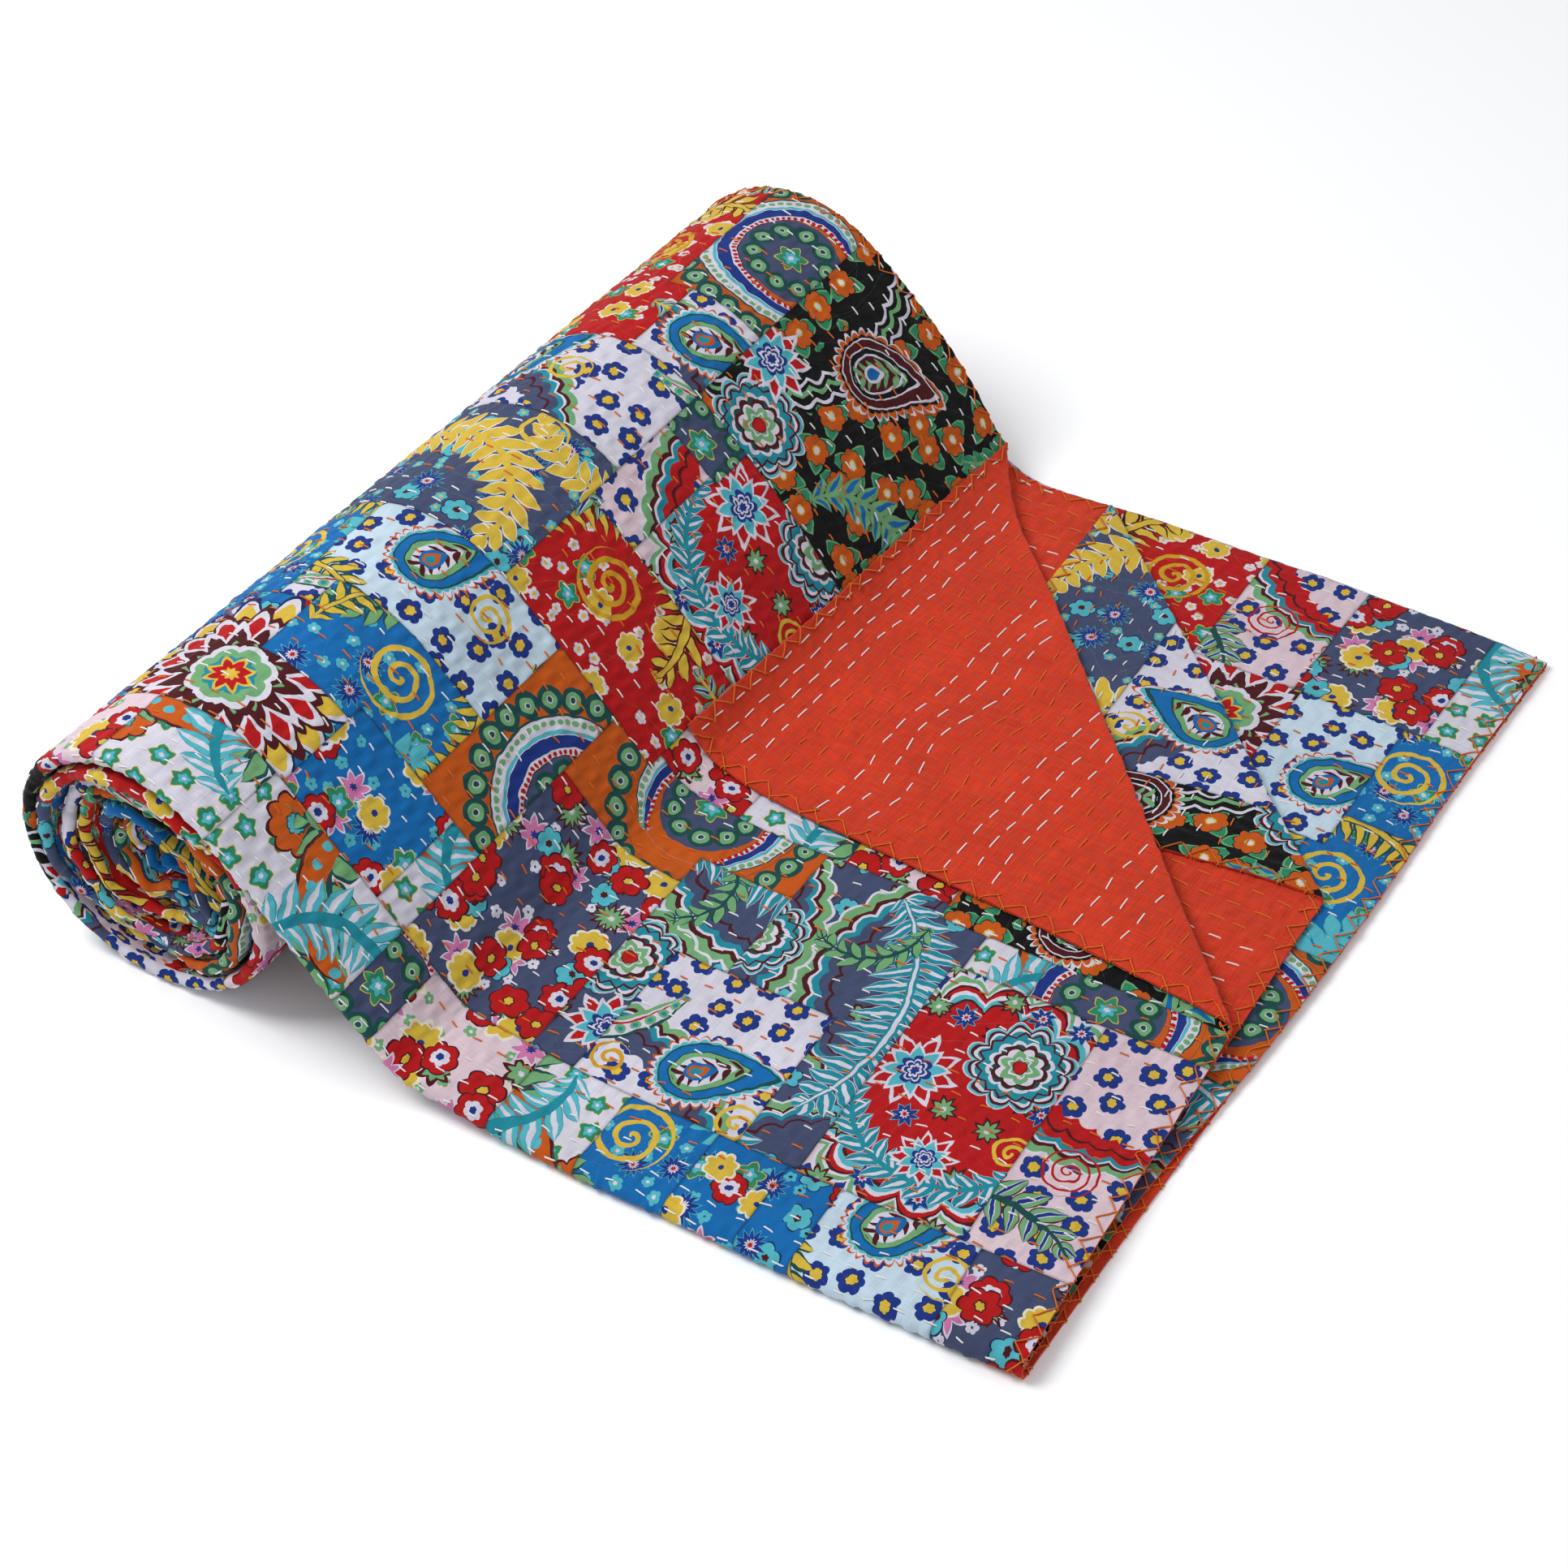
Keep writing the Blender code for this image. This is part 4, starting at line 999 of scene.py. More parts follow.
# %% The prints: the ground's dye, the steps at which motifs repeat, and the motifs in turn, in metres
DESIGNS = {
    "white_blossom": (WHITE, (0.19, 0.18), [
        (blossoms, SMALL),
        (crescent, dict(radius=0.095, half=0.95, width=0.03, scallop=0.0135, centre=(0.006, -0.012), turn=50,
                        stops=edging(SLATE))),
        (crescent, dict(radius=0.06, half=0.9, width=0.014, centre=(-0.06, -0.002), turn=-60,
                        stops=rings(GREEN, 0.2, WHITE, 0.3, RED, 0.4, WHITE, 0.85, PINE),
                        dots=[(0.1, 0.0075, 0.0028, rings(TEAL, 0.5, GREEN))])),
        (paisley, dict(size=0.04, turn=-42, **BLUE_DROP)),
        (swirl, dict(spacing=0.006, reach=0.0125, code=YELLOW, centre=(0.036, -0.018))),
        (swirl, dict(spacing=0.0055, reach=0.0105, code=GOLD, centre=(-0.041, -0.012))),
        (medallion, dict(layers=STAR, size=0.019, centre=(0.075, 0.065))),
    ]),
    "sky_blossom": (SKY, (0.18, 0.17), [
        (blossoms, SMALL),
        (spray, dict(radius=0.05, half=1.3, reach=0.013, spacing=0.0085, leaf=EDGED_LEAF, stem=EDGED_STEM,
                     centre=(-0.05, -0.017), turn=60)),
        (paisley, dict(size=0.038, turn=-30, **BLUE_DROP)),
        (swirl, dict(spacing=0.0056, reach=0.0135, code=YELLOW, centre=(0.038, -0.012))),
        (swirl, dict(spacing=0.005, reach=0.0135, code=TEAL, centre=(0.065, 0.055), thickness=0.3)),
    ]),
    "rose_blossom": (ROSE, (0.18, 0.18), [
        (blossoms, SMALL),
        (crescent, dict(radius=0.085, half=0.9, width=0.03, scallop=0.013, centre=(-0.02, 0.041), turn=215,
                        stops=edging(RED))),
        (swirl, dict(spacing=0.0046, reach=0.0155, code=RED, thickness=0.26)),
        (spray, dict(radius=0.07, half=0.9, reach=0.018, spacing=0.011,
                     leaf=rings(NAVY, 0.2, WHITE, 0.3, GREEN, 0.85, MAROON), stem=GREEN_STEM,
                     centre=(-0.046, -0.009), turn=70)),
        (paisley, dict(size=0.038, turn=25, centre=(0.055, -0.015), **RED_DROP)),
    ]),
    "slate_spray": (SLATE, (0.15, 0.14), [
        specks(YELLOW, 0.35, AQUA),
        *meadow((AQUA_EYE, 0.008, 6, 0.25), (BLUE_STAR, 0.01, 14, 0.5, 0.9)),
        (swirl, dict(spacing=0.0065, reach=0.014, code=YELLOW, centre=(0.02, 0.012))),
        (spray, dict(radius=0.06, half=1.5, reach=0.02, spacing=0.0105, leaf=YELLOW_LEAF, stem=YELLOW_STEM,
                     centre=(-0.004, -0.007), turn=75)),
        (spray, dict(radius=0.032, half=1.9, reach=0.013, spacing=0.0085, leaf=YELLOW_LEAF, stem=YELLOW_STEM,
                     centre=(0.061, 0.007), turn=-60)),
        (spray, dict(radius=0.03, half=1.5, reach=0.011, spacing=0.0085, leaf=GREEN_LEAF, stem=GREEN_STEM,
                     centre=(0.069, 0.045), turn=150)),
    ]),
    "slate_meadow": (SLATE, None, [
        specks(SLATE, 0.2, WHITE),
        *meadow((PINK_STAR, 0.0105, 7, 0.5, 0.9), (GREEN_STAR, 0.0115, 12, 0.5, 0.9), (DAISY, 0.011, 9, 0.16),
                (AQUA_EYE, 0.0085, 6, 0.25), (WHITE_EYE, 0.011, 7, 0.2), (POPPY, 0.011, 6, 0.25)),
    ]),
    "slate_plume": (SLATE, (0.2, 0.17), [
        *meadow((AQUA_EYE, 0.007, 5, 0.3), (GREEN_STAR, 0.008, 5, 0.5, 0.9)),
        (crescent, dict(radius=0.075, half=1.3, width=0.034, scallop=0.0145, centre=(0, 0.02), turn=180,
                        stops=edging(SLATE))),
        (crescent, dict(radius=0.1, half=1, width=0.03, scallop=0.0145, centre=(-0.03, 0), turn=0,
                        stops=edging(SLATE))),
        (spray, dict(radius=0.11, half=0.75, reach=0.026, spacing=0.0105, leaf=DROP_LEAF,
                     stem=rings(WHITE, 0.04, TEAL, end=0.1), centre=(0.048, -0.001), turn=10)),
        (medallion, dict(layers=ROSETTE, size=0.028, centre=(-0.0475, 0.01))),
        (medallion, dict(layers=STAR, size=0.023, centre=(-0.0775, -0.025))),
        (spray, dict(radius=0.03, half=1.3, reach=0.01, spacing=0.0085, leaf=GREEN_LEAF, stem=GREEN_STEM,
                     centre=(0.015, 0.024), turn=-60)),
    ]),
    "red_medallion": (ROSE, (0.19, 0.16), [
        (blossoms, SMALL),
        (medallion, dict(layers=[(rings(RED, 0.76, MAROON, 0.785, AQUA, 0.82, WHITE, 0.85, RED, 0.885, MAROON, 0.91,
                         WHITE, 0.93, GREEN, 0.97, WHITE), 1, 18, 0.12)], size=0.084, centre=(0.01, 0))),
        *meadow((BLUE_STAR, 0.008, 8, 0.5, 0.9), (GREEN_STAR, 0.009, 8, 0.5, 0.9)),
        (spray, dict(radius=0.055, half=1.5, reach=0.012, spacing=0.0105, leaf=DROP_LEAF, stem=rings(TEAL, end=0.12),
                     centre=(0, -0.054), turn=-100)),
        (medallion, dict(layers=ROSETTE, size=0.029, centre=(0.024, 0.032))),
        (medallion, dict(layers=STAR, size=0.025, centre=(-0.022, 0.006))),
        (medallion, dict(layers=STAR, size=0.018, centre=(0.01, -0.04), turn=20)),
        (swirl, dict(spacing=0.005, reach=0.011, code=YELLOW, centre=(0.046, -0.018))),
    ]),
    "red_flame": (RED, (0.15, 0.14), [
        specks(YELLOW, 0.4, WHITE),
        *meadow((JADE_STAR, 0.008, 5, 0.4, 1.1), (DAISY, 0.009, 8, 0.2)),
        (spray, dict(radius=0.05, half=1.9, reach=0.022, spacing=0.01, leaf=rings(YELLOW, 0.66, MAROON),
                     stem=rings(YELLOW, 0.12, MAROON, end=0.17), turn=95, centre=(-0.004, 0.05))),
        (swirl, dict(spacing=0.0075, reach=0.02, code=GOLD, centre=(0, 0.004))),
        (spray, dict(radius=0.045, half=1.2, reach=0.014, spacing=0.0095,
                     leaf=rings(NAVY, 0.2, WHITE, 0.32, GREEN, 0.85, MAROON), stem=YELLOW_STEM,
                     centre=(-0.041, 0.031), turn=-40)),
    ]),
    "blue_dahlia": (BLUE, (0.19, 0.19), [
        specks(DEEP, 0.3, AQUA),
        *meadow((AQUA_EYE, 0.008, 5, 0.3), (WHITE_EYE, 0.01, 7, 0.2), (BLUE_STAR, 0.009, 12, 0.5, 0.9)),
        (medallion, dict(layers=[(rings(MAROON, 0.7, YELLOW, 0.86, WHITE, 0.94, DEEP), 1, 15, 0.36, 1.5),
                         (rings(RED, 0.8, WHITE, 0.9, MAROON), 0.84, 15, 0.42, 1.6, 1),
                         (rings(GREEN, 0.6, MAROON, 0.84, WHITE), 0.64, 15, 0.36, 1.2),
                         (rings(WHITE, 0.8, MAROON), 0.4, 10, 0.24, 1.2),
                         (rings(NAVY, 0.35, TEAL, 0.6, GREEN, 0.85, WHITE), 0.33, 8, 0.14),
                         (rings(YELLOW, 0.35, RED, 0.8, YELLOW), 0.2, 8, 0.4, 1)], size=0.066)),
        (medallion, dict(layers=ROSETTE, size=0.027, centre=(0.085, 0.08))),
    ]),
    "blue_spray": (BLUE, (0.15, 0.14), [
        specks(WHITE, 0.3, AQUA),
        *meadow((BLUE_STAR, 0.009, 12, 0.5, 0.9), (JADE_STAR, 0.008, 5, 0.4, 1.1)),
        (spray, dict(radius=0.045, half=1.5, reach=0.02, spacing=0.0085, leaf=rings(AQUA, 0.9, TEAL),
                     stem=rings(AQUA, end=0.12), centre=(0.023, -0.065), turn=200)),
        (spray, dict(radius=0.034, half=1.6, reach=0.012, spacing=0.0085, leaf=GREEN_LEAF, stem=GREEN_STEM,
                     centre=(-0.026, 0.033), turn=-30)),
        (spray, dict(radius=0.05, half=2, reach=0.017, spacing=0.0088, leaf=EDGED_LEAF, stem=EDGED_STEM, turn=70,
                     centre=(0.017, 0.047))),
        (swirl, dict(spacing=0.0085, reach=0.021, code=YELLOW, centre=(0, 0.006), thickness=0.35)),
    ]),
    "blue_meadow": (BLUE, None, [
        specks(BLUE, 0.2, AQUA),
        *meadow((PINK_STAR, 0.01, 7, 0.5, 0.9), (BLUE_STAR, 0.0105, 12, 0.5, 0.9), (JADE_STAR, 0.009, 5, 0.4, 1.1),
                (WHITE_EYE, 0.01, 7, 0.2), (DAISY, 0.0095, 8, 0.2)),
    ]),
    "black_garden": (BLACK, (0.22, 0.22), [
        (blossoms, dict(spacing=0.0255, looseness=0.5, size=0.015, count=3, depth=0.7, power=1,
                        stops=rings(JADE, 0.9, GREEN))),
        (blossoms, dict(spacing=0.0255, looseness=0.5, size=0.0094, count=8, depth=0.2,
                        stops=rings(WHITE, 0.2, YELLOW, 0.3, ORANGE, 0.93, BLACK))),
        (crescent, dict(radius=0.115, half=1.4, width=0.03, scallop=0.0135, centre=(-0.015, 0), turn=0,
                        stops=rings(BLACK, 0.45, WHITE, 0.52, BLACK, 0.62, GREEN, 0.72, BLACK, 0.86, WHITE, 0.94,
                        BLACK))),
        (spray, dict(radius=0.05, half=1.2, reach=0.015, spacing=0.011, leaf=rings(BLUE, 0.35, GREEN),
                     stem=rings(GREEN, end=0.12), centre=(0.066, -0.051), turn=100)),
        (spray, dict(radius=0.04, half=1.2, reach=0.013, spacing=0.01, leaf=rings(JADE, 0.8, GREEN),
                     stem=rings(GREEN, end=0.12), centre=(0.089, 0.067), turn=10)),
        (paisley, dict(size=0.044, turn=-20, **BLACK_DROP)),
        (medallion, dict(layers=ROSETTE, size=0.03, centre=(-0.022, -0.087))),
        (medallion, dict(layers=STAR, size=0.026, centre=(-0.0425, -0.05))),
    ]),
    "bead_arcs": (ORANGE, (0.14, 0.14), [
        (medallion, dict(layers=[(rings(SLATE), 1, 2, 0)], size=0.03)),
        (crescent, dict(radius=0.058, half=4, width=0.0165, stops=rings(PINE, 0.02, ORANGE),
                        dots=[(0, 0.014, 0.0074, BEAD)])),
        (crescent, dict(radius=0.04, half=2.6, width=0.022, turn=90,
                        stops=rings(MAROON, 0.03, WHITE, 0.2, NAVY, 0.5, WHITE, 0.52, AQUA, 0.62, WHITE, 0.94, PINE),
                        dots=[(0.3, 0.0042, 0.0016, rings(GREEN)), (-0.4, 0.0042, 0.0014, rings(RED))])),
        (crescent, dict(radius=0.021, half=4, width=0.015, dots=[(0, 0.0132, 0.0068, BEAD)], stops=rings(SLATE))),
        (medallion, dict(layers=[(JADE_STAR, 1, 6, 0.4, 1.1)], size=0.01)),
        (medallion, dict(layers=[(CORAL, 1, 9, 0.2)], size=0.016, centre=(0.07, 0.07))),
    ]),
    "leaf_rows": (WHITE, (0.13, 0.12), [
        (blossoms, dict(spacing=0.0175, looseness=0.4, size=0.0068, count=5, depth=0.36, power=1, stops=JADE_STAR)),
        (blossoms, dict(spacing=0.062, looseness=0.8, size=0.0165, count=9, depth=0.2, stops=CORAL, away=0.02)),
        (spray, dict(radius=0.078, half=1.5, reach=0.018, spacing=0.0135, leaf=GREEN_LEAF, stem=GREEN_STEM,
                     slant=0.5, centre=(0.028, -0.02))),
        (crescent, dict(radius=0.045, half=1.1, width=0.016, centre=(0.008, 0.015), turn=200,
                        stops=rings(ORANGE, 0.9, MAROON), dots=[(0, 0.011, 0.0026, rings(AQUA))])),
        (spray, dict(radius=0.04, half=1.4, reach=0.02, spacing=0.0105, leaf=rings(WHITE, 0.3, AQUA, 0.9, TEAL),
                     stem=rings(TEAL, end=0.15), centre=(0.033, 0.009), turn=100)),
    ]),
    "marigold": (ROSE, (0.16, 0.16), [
        specks(WHITE, 0.3, GREEN),
        *meadow((DAISY, 0.0135, 9, 0.18), (GREEN_STAR, 0.01, 7, 0.4, 1), (POPPY, 0.0125, 6, 0.22),
                (PINK_STAR, 0.011, 7, 0.5, 0.9), (WHITE_EYE, 0.0105, 6, 0.2)),
        (crescent, dict(radius=0.07, half=2.2, width=0.012, centre=(-0.07, 0.02), scallop=0.011,
                        stops=rings(WHITE, 0.2, RED, 0.4, WHITE, 0.82, BLACK))),
    ]),
}

# %% [markdown]
# ### Cotton as cloth
# Both faces are plain weave: threads at about half a millimetre, with thicker slubs here and there that catch
# the light. The weave is too fine to model, so it is a bump. The dye sinks in unevenly. The seams are darkened
# with painted shade, which stands in for the shadow in the groove that each seam makes. Cotton has almost no
# gloss, only a faint bloom at grazing angles, which is its sheen.

# %% Weave and finish
# Voile has threads of about 0.25 mm, which would not show here, so they are drawn 0.45 mm wide.
WEAVE_WAVE = 0.0009  # metres from one thread that lies on top to the next
SLUBS_LONG, SLUBS_WIDE = 60.0, 1500.0  # slubs per metre, along a thread and across it
# The last of these is painted shade: how much darker the colour is made along the seams, for their groove's shadow.
BLOTCHES, BLOTCH_TONE, MEAN_TONE, PAINTED_SEAM_SHADE = 22.0, 0.20, 0.59, -0.40


def weave(tree, cloth):
    """Height of the weave in metres: two ribs at right angles, and slubs, which are noise drawn out along each
    thread."""
    split = add(tree, "SeparateXYZ", [cloth])
    ribs = None
    for axis in (0, 1):
        rib = add(tree, "Math.MULTIPLY", [split.outputs[axis], 2 * math.pi / WEAVE_WAVE])
        rib = add(tree, "Math.SINE", [rib])
        drawn = (SLUBS_LONG, SLUBS_WIDE, 1.0) if axis else (SLUBS_WIDE, SLUBS_LONG, 1.0)
        slub = add(tree, "Mapping", {0: cloth, 3: drawn})
        slub = add(tree, "TexNoise", {"Vector": slub, "Scale": 1.0, "Detail": 1.0}, noise_dimensions="2D")
        rib = add(tree, "Math.MULTIPLY_ADD", [rib, 0.22, slub.outputs["Fac"]])
        ribs = rib if ribs is None else add(tree, "Math.ADD", [ribs, rib])
    return ribs


def cotton(name, dyed, roughness, sheen, relief, grain=0.12):
    """A cotton finish: dyed is a function that gives the colour, relief is the weave's height in metres, and
    grain is how far its threads differ in tone."""
    finish = bpy.data.materials.new(name)
    finish.use_nodes = True
    tree = finish.node_tree
    shader = tree.nodes["Principled BSDF"]
    cloth = add(tree, "UVMap", uv_map="cloth").outputs[0]
    threads = weave(tree, cloth)
    blotch = add(tree, "TexNoise", {"Vector": cloth, "Scale": BLOTCHES, "Detail": 3.0}, noise_dimensions="2D")
    tone = add(tree, "Math.MULTIPLY_ADD", [blotch.outputs["Fac"], BLOTCH_TONE, MEAN_TONE - grain])
    tone = add(tree, "Math.MULTIPLY_ADD", [threads, grain, tone])
    # Painted shade: the colour is darkened along the seams, for the shadow in the groove that each seam makes.
    seam = add(tree, "Attribute", attribute_name="seam").outputs["Fac"]
    seam = add(tree, "Math.POWER", [seam, 3.0])
    tone = add(tree, "Math.MULTIPLY_ADD", [seam, PAINTED_SEAM_SHADE, tone])
    shade = add(tree, "CombineColor", [tone, tone, tone])
    painted = add(tree, "Mix", {0: 1.0, 6: dyed(tree), 7: shade}, data_type="RGBA", blend_type="MULTIPLY")
    tree.links.new(painted.outputs[2], shader.inputs["Base Color"])
    rough = add(tree, "Math.MULTIPLY_ADD", [blotch.outputs["Fac"], 0.14, roughness - 0.07])
    tree.links.new(rough.outputs[0], shader.inputs["Roughness"])
    bump = add(tree, "Bump", {"Strength": 1.0, "Distance": relief, "Height": threads})
    tree.links.new(bump.outputs[0], shader.inputs["Normal"])
    shader.inputs["Sheen Weight"].default_value = sheen
    shader.inputs["Sheen Roughness"].default_value = 0.5
    shader.inputs["Specular IOR Level"].default_value = 0.12
    return finish


# %% The dyed prints and the plain reverse
def dye(tree, code):
    """One colour all over."""
    return add(tree, "Mix", {6: colour(code), 7: colour(code)}, data_type="RGBA").outputs[2]


BLOCK_SLIP = 0.0030  # metres; the noise is mostly within a third of this either way


def printed(ground, repeat, motifs):
    """The colour of a print: its ground and its motifs, on coordinates that noise shifts by about a millimetre,
    as a hand-cut block does."""
    def dyed(tree):
        place = add(tree, "UVMap", uv_map="print").outputs[0]
        wobble = add(tree, "TexNoise", {"Vector": place, "Scale": 90.0, "Detail": 2.0}, noise_dimensions="2D")
        offset = add(tree, "VectorMath.SUBTRACT", [wobble.outputs["Color"], (0.5, 0.5, 0.5)])
        place = add(tree, "VectorMath.MULTIPLY_ADD", [offset, (BLOCK_SLIP, BLOCK_SLIP, 0.0), place])
        result = dye(tree, ground)
        for motif, settings in motifs:
            repeated = {} if motif is blossoms else {"repeat": repeat}
            result = motif(tree, result, place, **settings, **repeated)
        return result
    return dyed


finishes = [cotton("printed cotton voile, " + name, printed(*DESIGNS[name]), 0.85, 0.05, 0.00008) for name in PRINTS]


def terracotta(tree):
    """Piece-dyed cotton: one colour, a little paler where the cloth is rubbed."""
    cloth = add(tree, "UVMap", uv_map="cloth")
    rubbed = add(tree, "TexNoise", {"Vector": cloth, "Scale": 60.0, "Detail": 4.0}, noise_dimensions="2D")
    return add(tree, "Mix", {0: rubbed.outputs["Fac"], 6: colour("#DD3618"), 7: colour("#EB4521")},
               data_type="RGBA").outputs[2]


finishes.append(cotton("plain-woven terracotta cotton", terracotta, 0.82, 0.08, 0.00030, 0.30))
print(len(finishes), "finishes, with", sum(len(finish.node_tree.nodes) for finish in finishes), "nodes")

# %% [markdown]
# ## The sheets of the quilt
# The quilt is one cloth, but it is built as several sheets that meet edge to edge, so that each stays light
# enough to work with and gets its own share of the texture when the model is exported. The printed face that
# the eye sees has a grid of 2.5 mm, fine enough for the wrinkles. Layers that only show at their edges get a
# fine grid there and a coarse one between.

# %% Lay out the sheets
FINE, FOLD_STEP, EDGE = 0.0025, 0.0009, 0.03
SPREAD, SLOPE, ROLLED = 0.35, 0.64, 0.93  # lengths from the loose end at which sheets meet
END_OF_ROLL = wound_length(math.radians(ROLL_TURNS * 360))
print("the cloth is", round(END_OF_ROLL, 2), "m long when it is unrolled")


def edged(start, end, fine):
    """Grid lines of a layer that shows only within 30 mm of its ends."""
    return (start, fine, start + EDGE, 0.03, end - EDGE, fine)


def join_quilt(made, its_finishes):
    """Gives a piece its finishes, and makes it part of the quilt in the frame."""
    for finish in its_finishes:
        made.data.materials.append(finish)
    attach(made, "root")
    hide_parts("quilt")


def lay(name, along_lines, way_lines, crease=None):
    """Builds one sheet and makes it part of the quilt. Its size when flat is worked out, but not used."""
    along, way = sheet_grid(along_lines, way_lines, crease)
    flat = (float(np.ptp(way_lines)), float(np.ptp(along)))
    made = sheet_of_cloth(name, along, way)
    join_quilt(made, finishes)


OVER, UNDER, TURN_UP, MIDDLE, TURN_IN, SECOND = STARTS[1:7]
top_lines = lines(0.0, FINE, OVER, FOLD_STEP, UNDER)
lay("bottom_spread", lines(0.0, 0.005, SPREAD), lines(UNDER, 0.012, TURN_UP, FOLD_STEP, MIDDLE))
lay("third_spread", lines(0.0, FINE, SPREAD), lines(MIDDLE, FINE, MIDDLE + 0.37, 0.008, TURN_IN, FOLD_STEP, SECOND))
lay("second_spread", lines(0.0, FINE, SPREAD), lines(SECOND, 0.008, SECOND + 0.2, FINE, STARTS[7]), "second")
under_lines = lines(
    *edged(UNDER, TURN_UP, 0.004), TURN_UP, FOLD_STEP, *edged(MIDDLE, TURN_IN, 0.004), TURN_IN, FOLD_STEP,
    *edged(SECOND, STARTS[7], 0.004), STARTS[7],
)
lay("under_layers", lines(SPREAD, 0.005, ROLLED), under_lines)
lay("top_spread", lines(0.0, FINE, SPREAD), top_lines, "top")
lay("top_slope", lines(SPREAD, FINE, SLOPE), top_lines)
lay("top_roll", lines(SLOPE, FINE, ROLLED), top_lines)

# %% The turns inside the roll, fine at the front end that shows
wound_lines = lines(OVER - EDGE, 0.003, OVER, 0.0012, UNDER, 0.003, UNDER + EDGE)
lay("wound_front", lines(ROLLED, 0.003, END_OF_ROLL), wound_lines)
wound_lines = lines(UNDER + EDGE, 0.03, TURN_UP - EDGE, 0.005, TURN_UP, 0.0015, MIDDLE, 0.005, MIDDLE + EDGE)
lay("wound_under", lines(ROLLED, 0.006, END_OF_ROLL), wound_lines)
wound_lines = lines(
    MIDDLE + EDGE, 0.03, TURN_IN - EDGE, 0.005, TURN_IN, FOLD_STEP, SECOND, 0.005, SECOND + EDGE, 0.03,
    STARTS[7] - EDGE, 0.005, STARTS[7],
)
lay("wound_middle", lines(ROLLED, 0.006, END_OF_ROLL), wound_lines)
lay("wound_over", lines(ROLLED, 0.006, END_OF_ROLL), lines(0.0, 0.005, EDGE, 0.03, OVER - EDGE))

# %% [markdown]
# ## Running stitch
# Rows of running stitch go through all the layers of the cloth, along the whole strip: short dashes show on the
# printed face and long ones on the reverse. The rows come in groups of white and of orange thread. A bump or a
# painted dash would do from far away, but real thread stands off the cloth and casts a small shadow, so each
# stitch is a short bar of thread whose ends dive into the cloth. There are thousands, so each has few faces.

# %% Bars and lengths of thread
NEXT_PATH = 0.37  # metres between the texture of one thread and of the next, so that no two look alike
TEXTURE_ROUND = 0.0005  # metres of texture for each radian round a thread


def tubes(paths, reference, radii):
    """Four-sided tubes round many paths of as many points: each ring lies across its path's direction t, on the
    vectors t x reference and (t x reference) x t, and none goes below the surface that the quilt lies on. Gives
    the points, their outward directions, the faces, and the length and the share of a turn at each point."""
    paths = np.stack([paths[..., 0], paths[..., 1], np.maximum(paths[..., 2], radii + FLOOR_GAP)], -1)
    step = np.gradient(paths, axis=1)
    step /= np.linalg.norm(step, axis=-1, keepdims=True)
    side = np.cross(step, reference)
    side /= np.linalg.norm(side, axis=-1, keepdims=True)
    over = np.cross(side, step)
    turn = 2 * math.pi * (np.arange(4) + 0.5) / 4
    outward = side[:, :, None] * np.cos(turn)[:, None] + over[:, :, None] * np.sin(turn)[:, None]
    points = paths[:, :, None] + outward * radii[:, :, None, None]
    count, steps = paths.shape[:2]
    number = np.arange(count * steps * 4).reshape(count, steps, 4)
    around = np.roll(number, -1, axis=2)
    walls = np.stack([number[:, :-1], number[:, 1:], around[:, 1:], around[:, :-1]], -1).reshape(-1, 4)
    ends = np.concatenate([number[:, 0], number[:, -1, ::-1]])
    length = np.cumsum(np.linalg.norm(np.diff(paths, axis=1, prepend=paths[:, :1]), axis=-1), axis=1)
    length = length + np.arange(count)[:, None] * NEXT_PATH
    marks = np.stack(np.broadcast_arrays(length[:, :, None], turn * TEXTURE_ROUND), -1)
    return points.reshape(-1, 3), outward.reshape(-1, 3), np.concatenate([walls, ends]), marks.reshape(-1, 2)


def thread_piece(name, parts, finish):
    """One piece from several sets of tubes."""
    firsts = np.cumsum([0] + [len(points) for points, _, _, _ in parts])
    points, outward, marks = (np.concatenate([part[k] for part in parts]) for k in (0, 1, 3))
    faces = np.concatenate([part[2] + first for part, first in zip(parts, firsts)])
    corners = faces.ravel()
    sizes, zero = np.full(len(faces), 4), np.zeros(len(faces), int)
    made = add_mesh(name, points, corners, sizes, zero, outward[corners], {"cloth": marks[corners]}, {})
    join_quilt(made, [finish])


# %% Where the stitches are
THREAD = 0.00045  # radius
PRINT_DASH, REVERSE_DASH = 0.0060, 0.0098
SHORTEST, LONGEST = 0.72, 1.16  # of those lengths
SHIFT_ALONG, SHIFT_ACROSS = 0.0009, 0.0003  # how unevenly they are set
FROM_END, FROM_SELVAGE = 0.004, 0.003  # none is nearer than this to the cloth's own edges
rng = np.random.default_rng(7)


def is_orange(row):
    """Four white rows at the edge, then orange and white by turns, three at a time."""
    return np.where(row < 4, False, (row - 4) // 3 % 2 == 0)


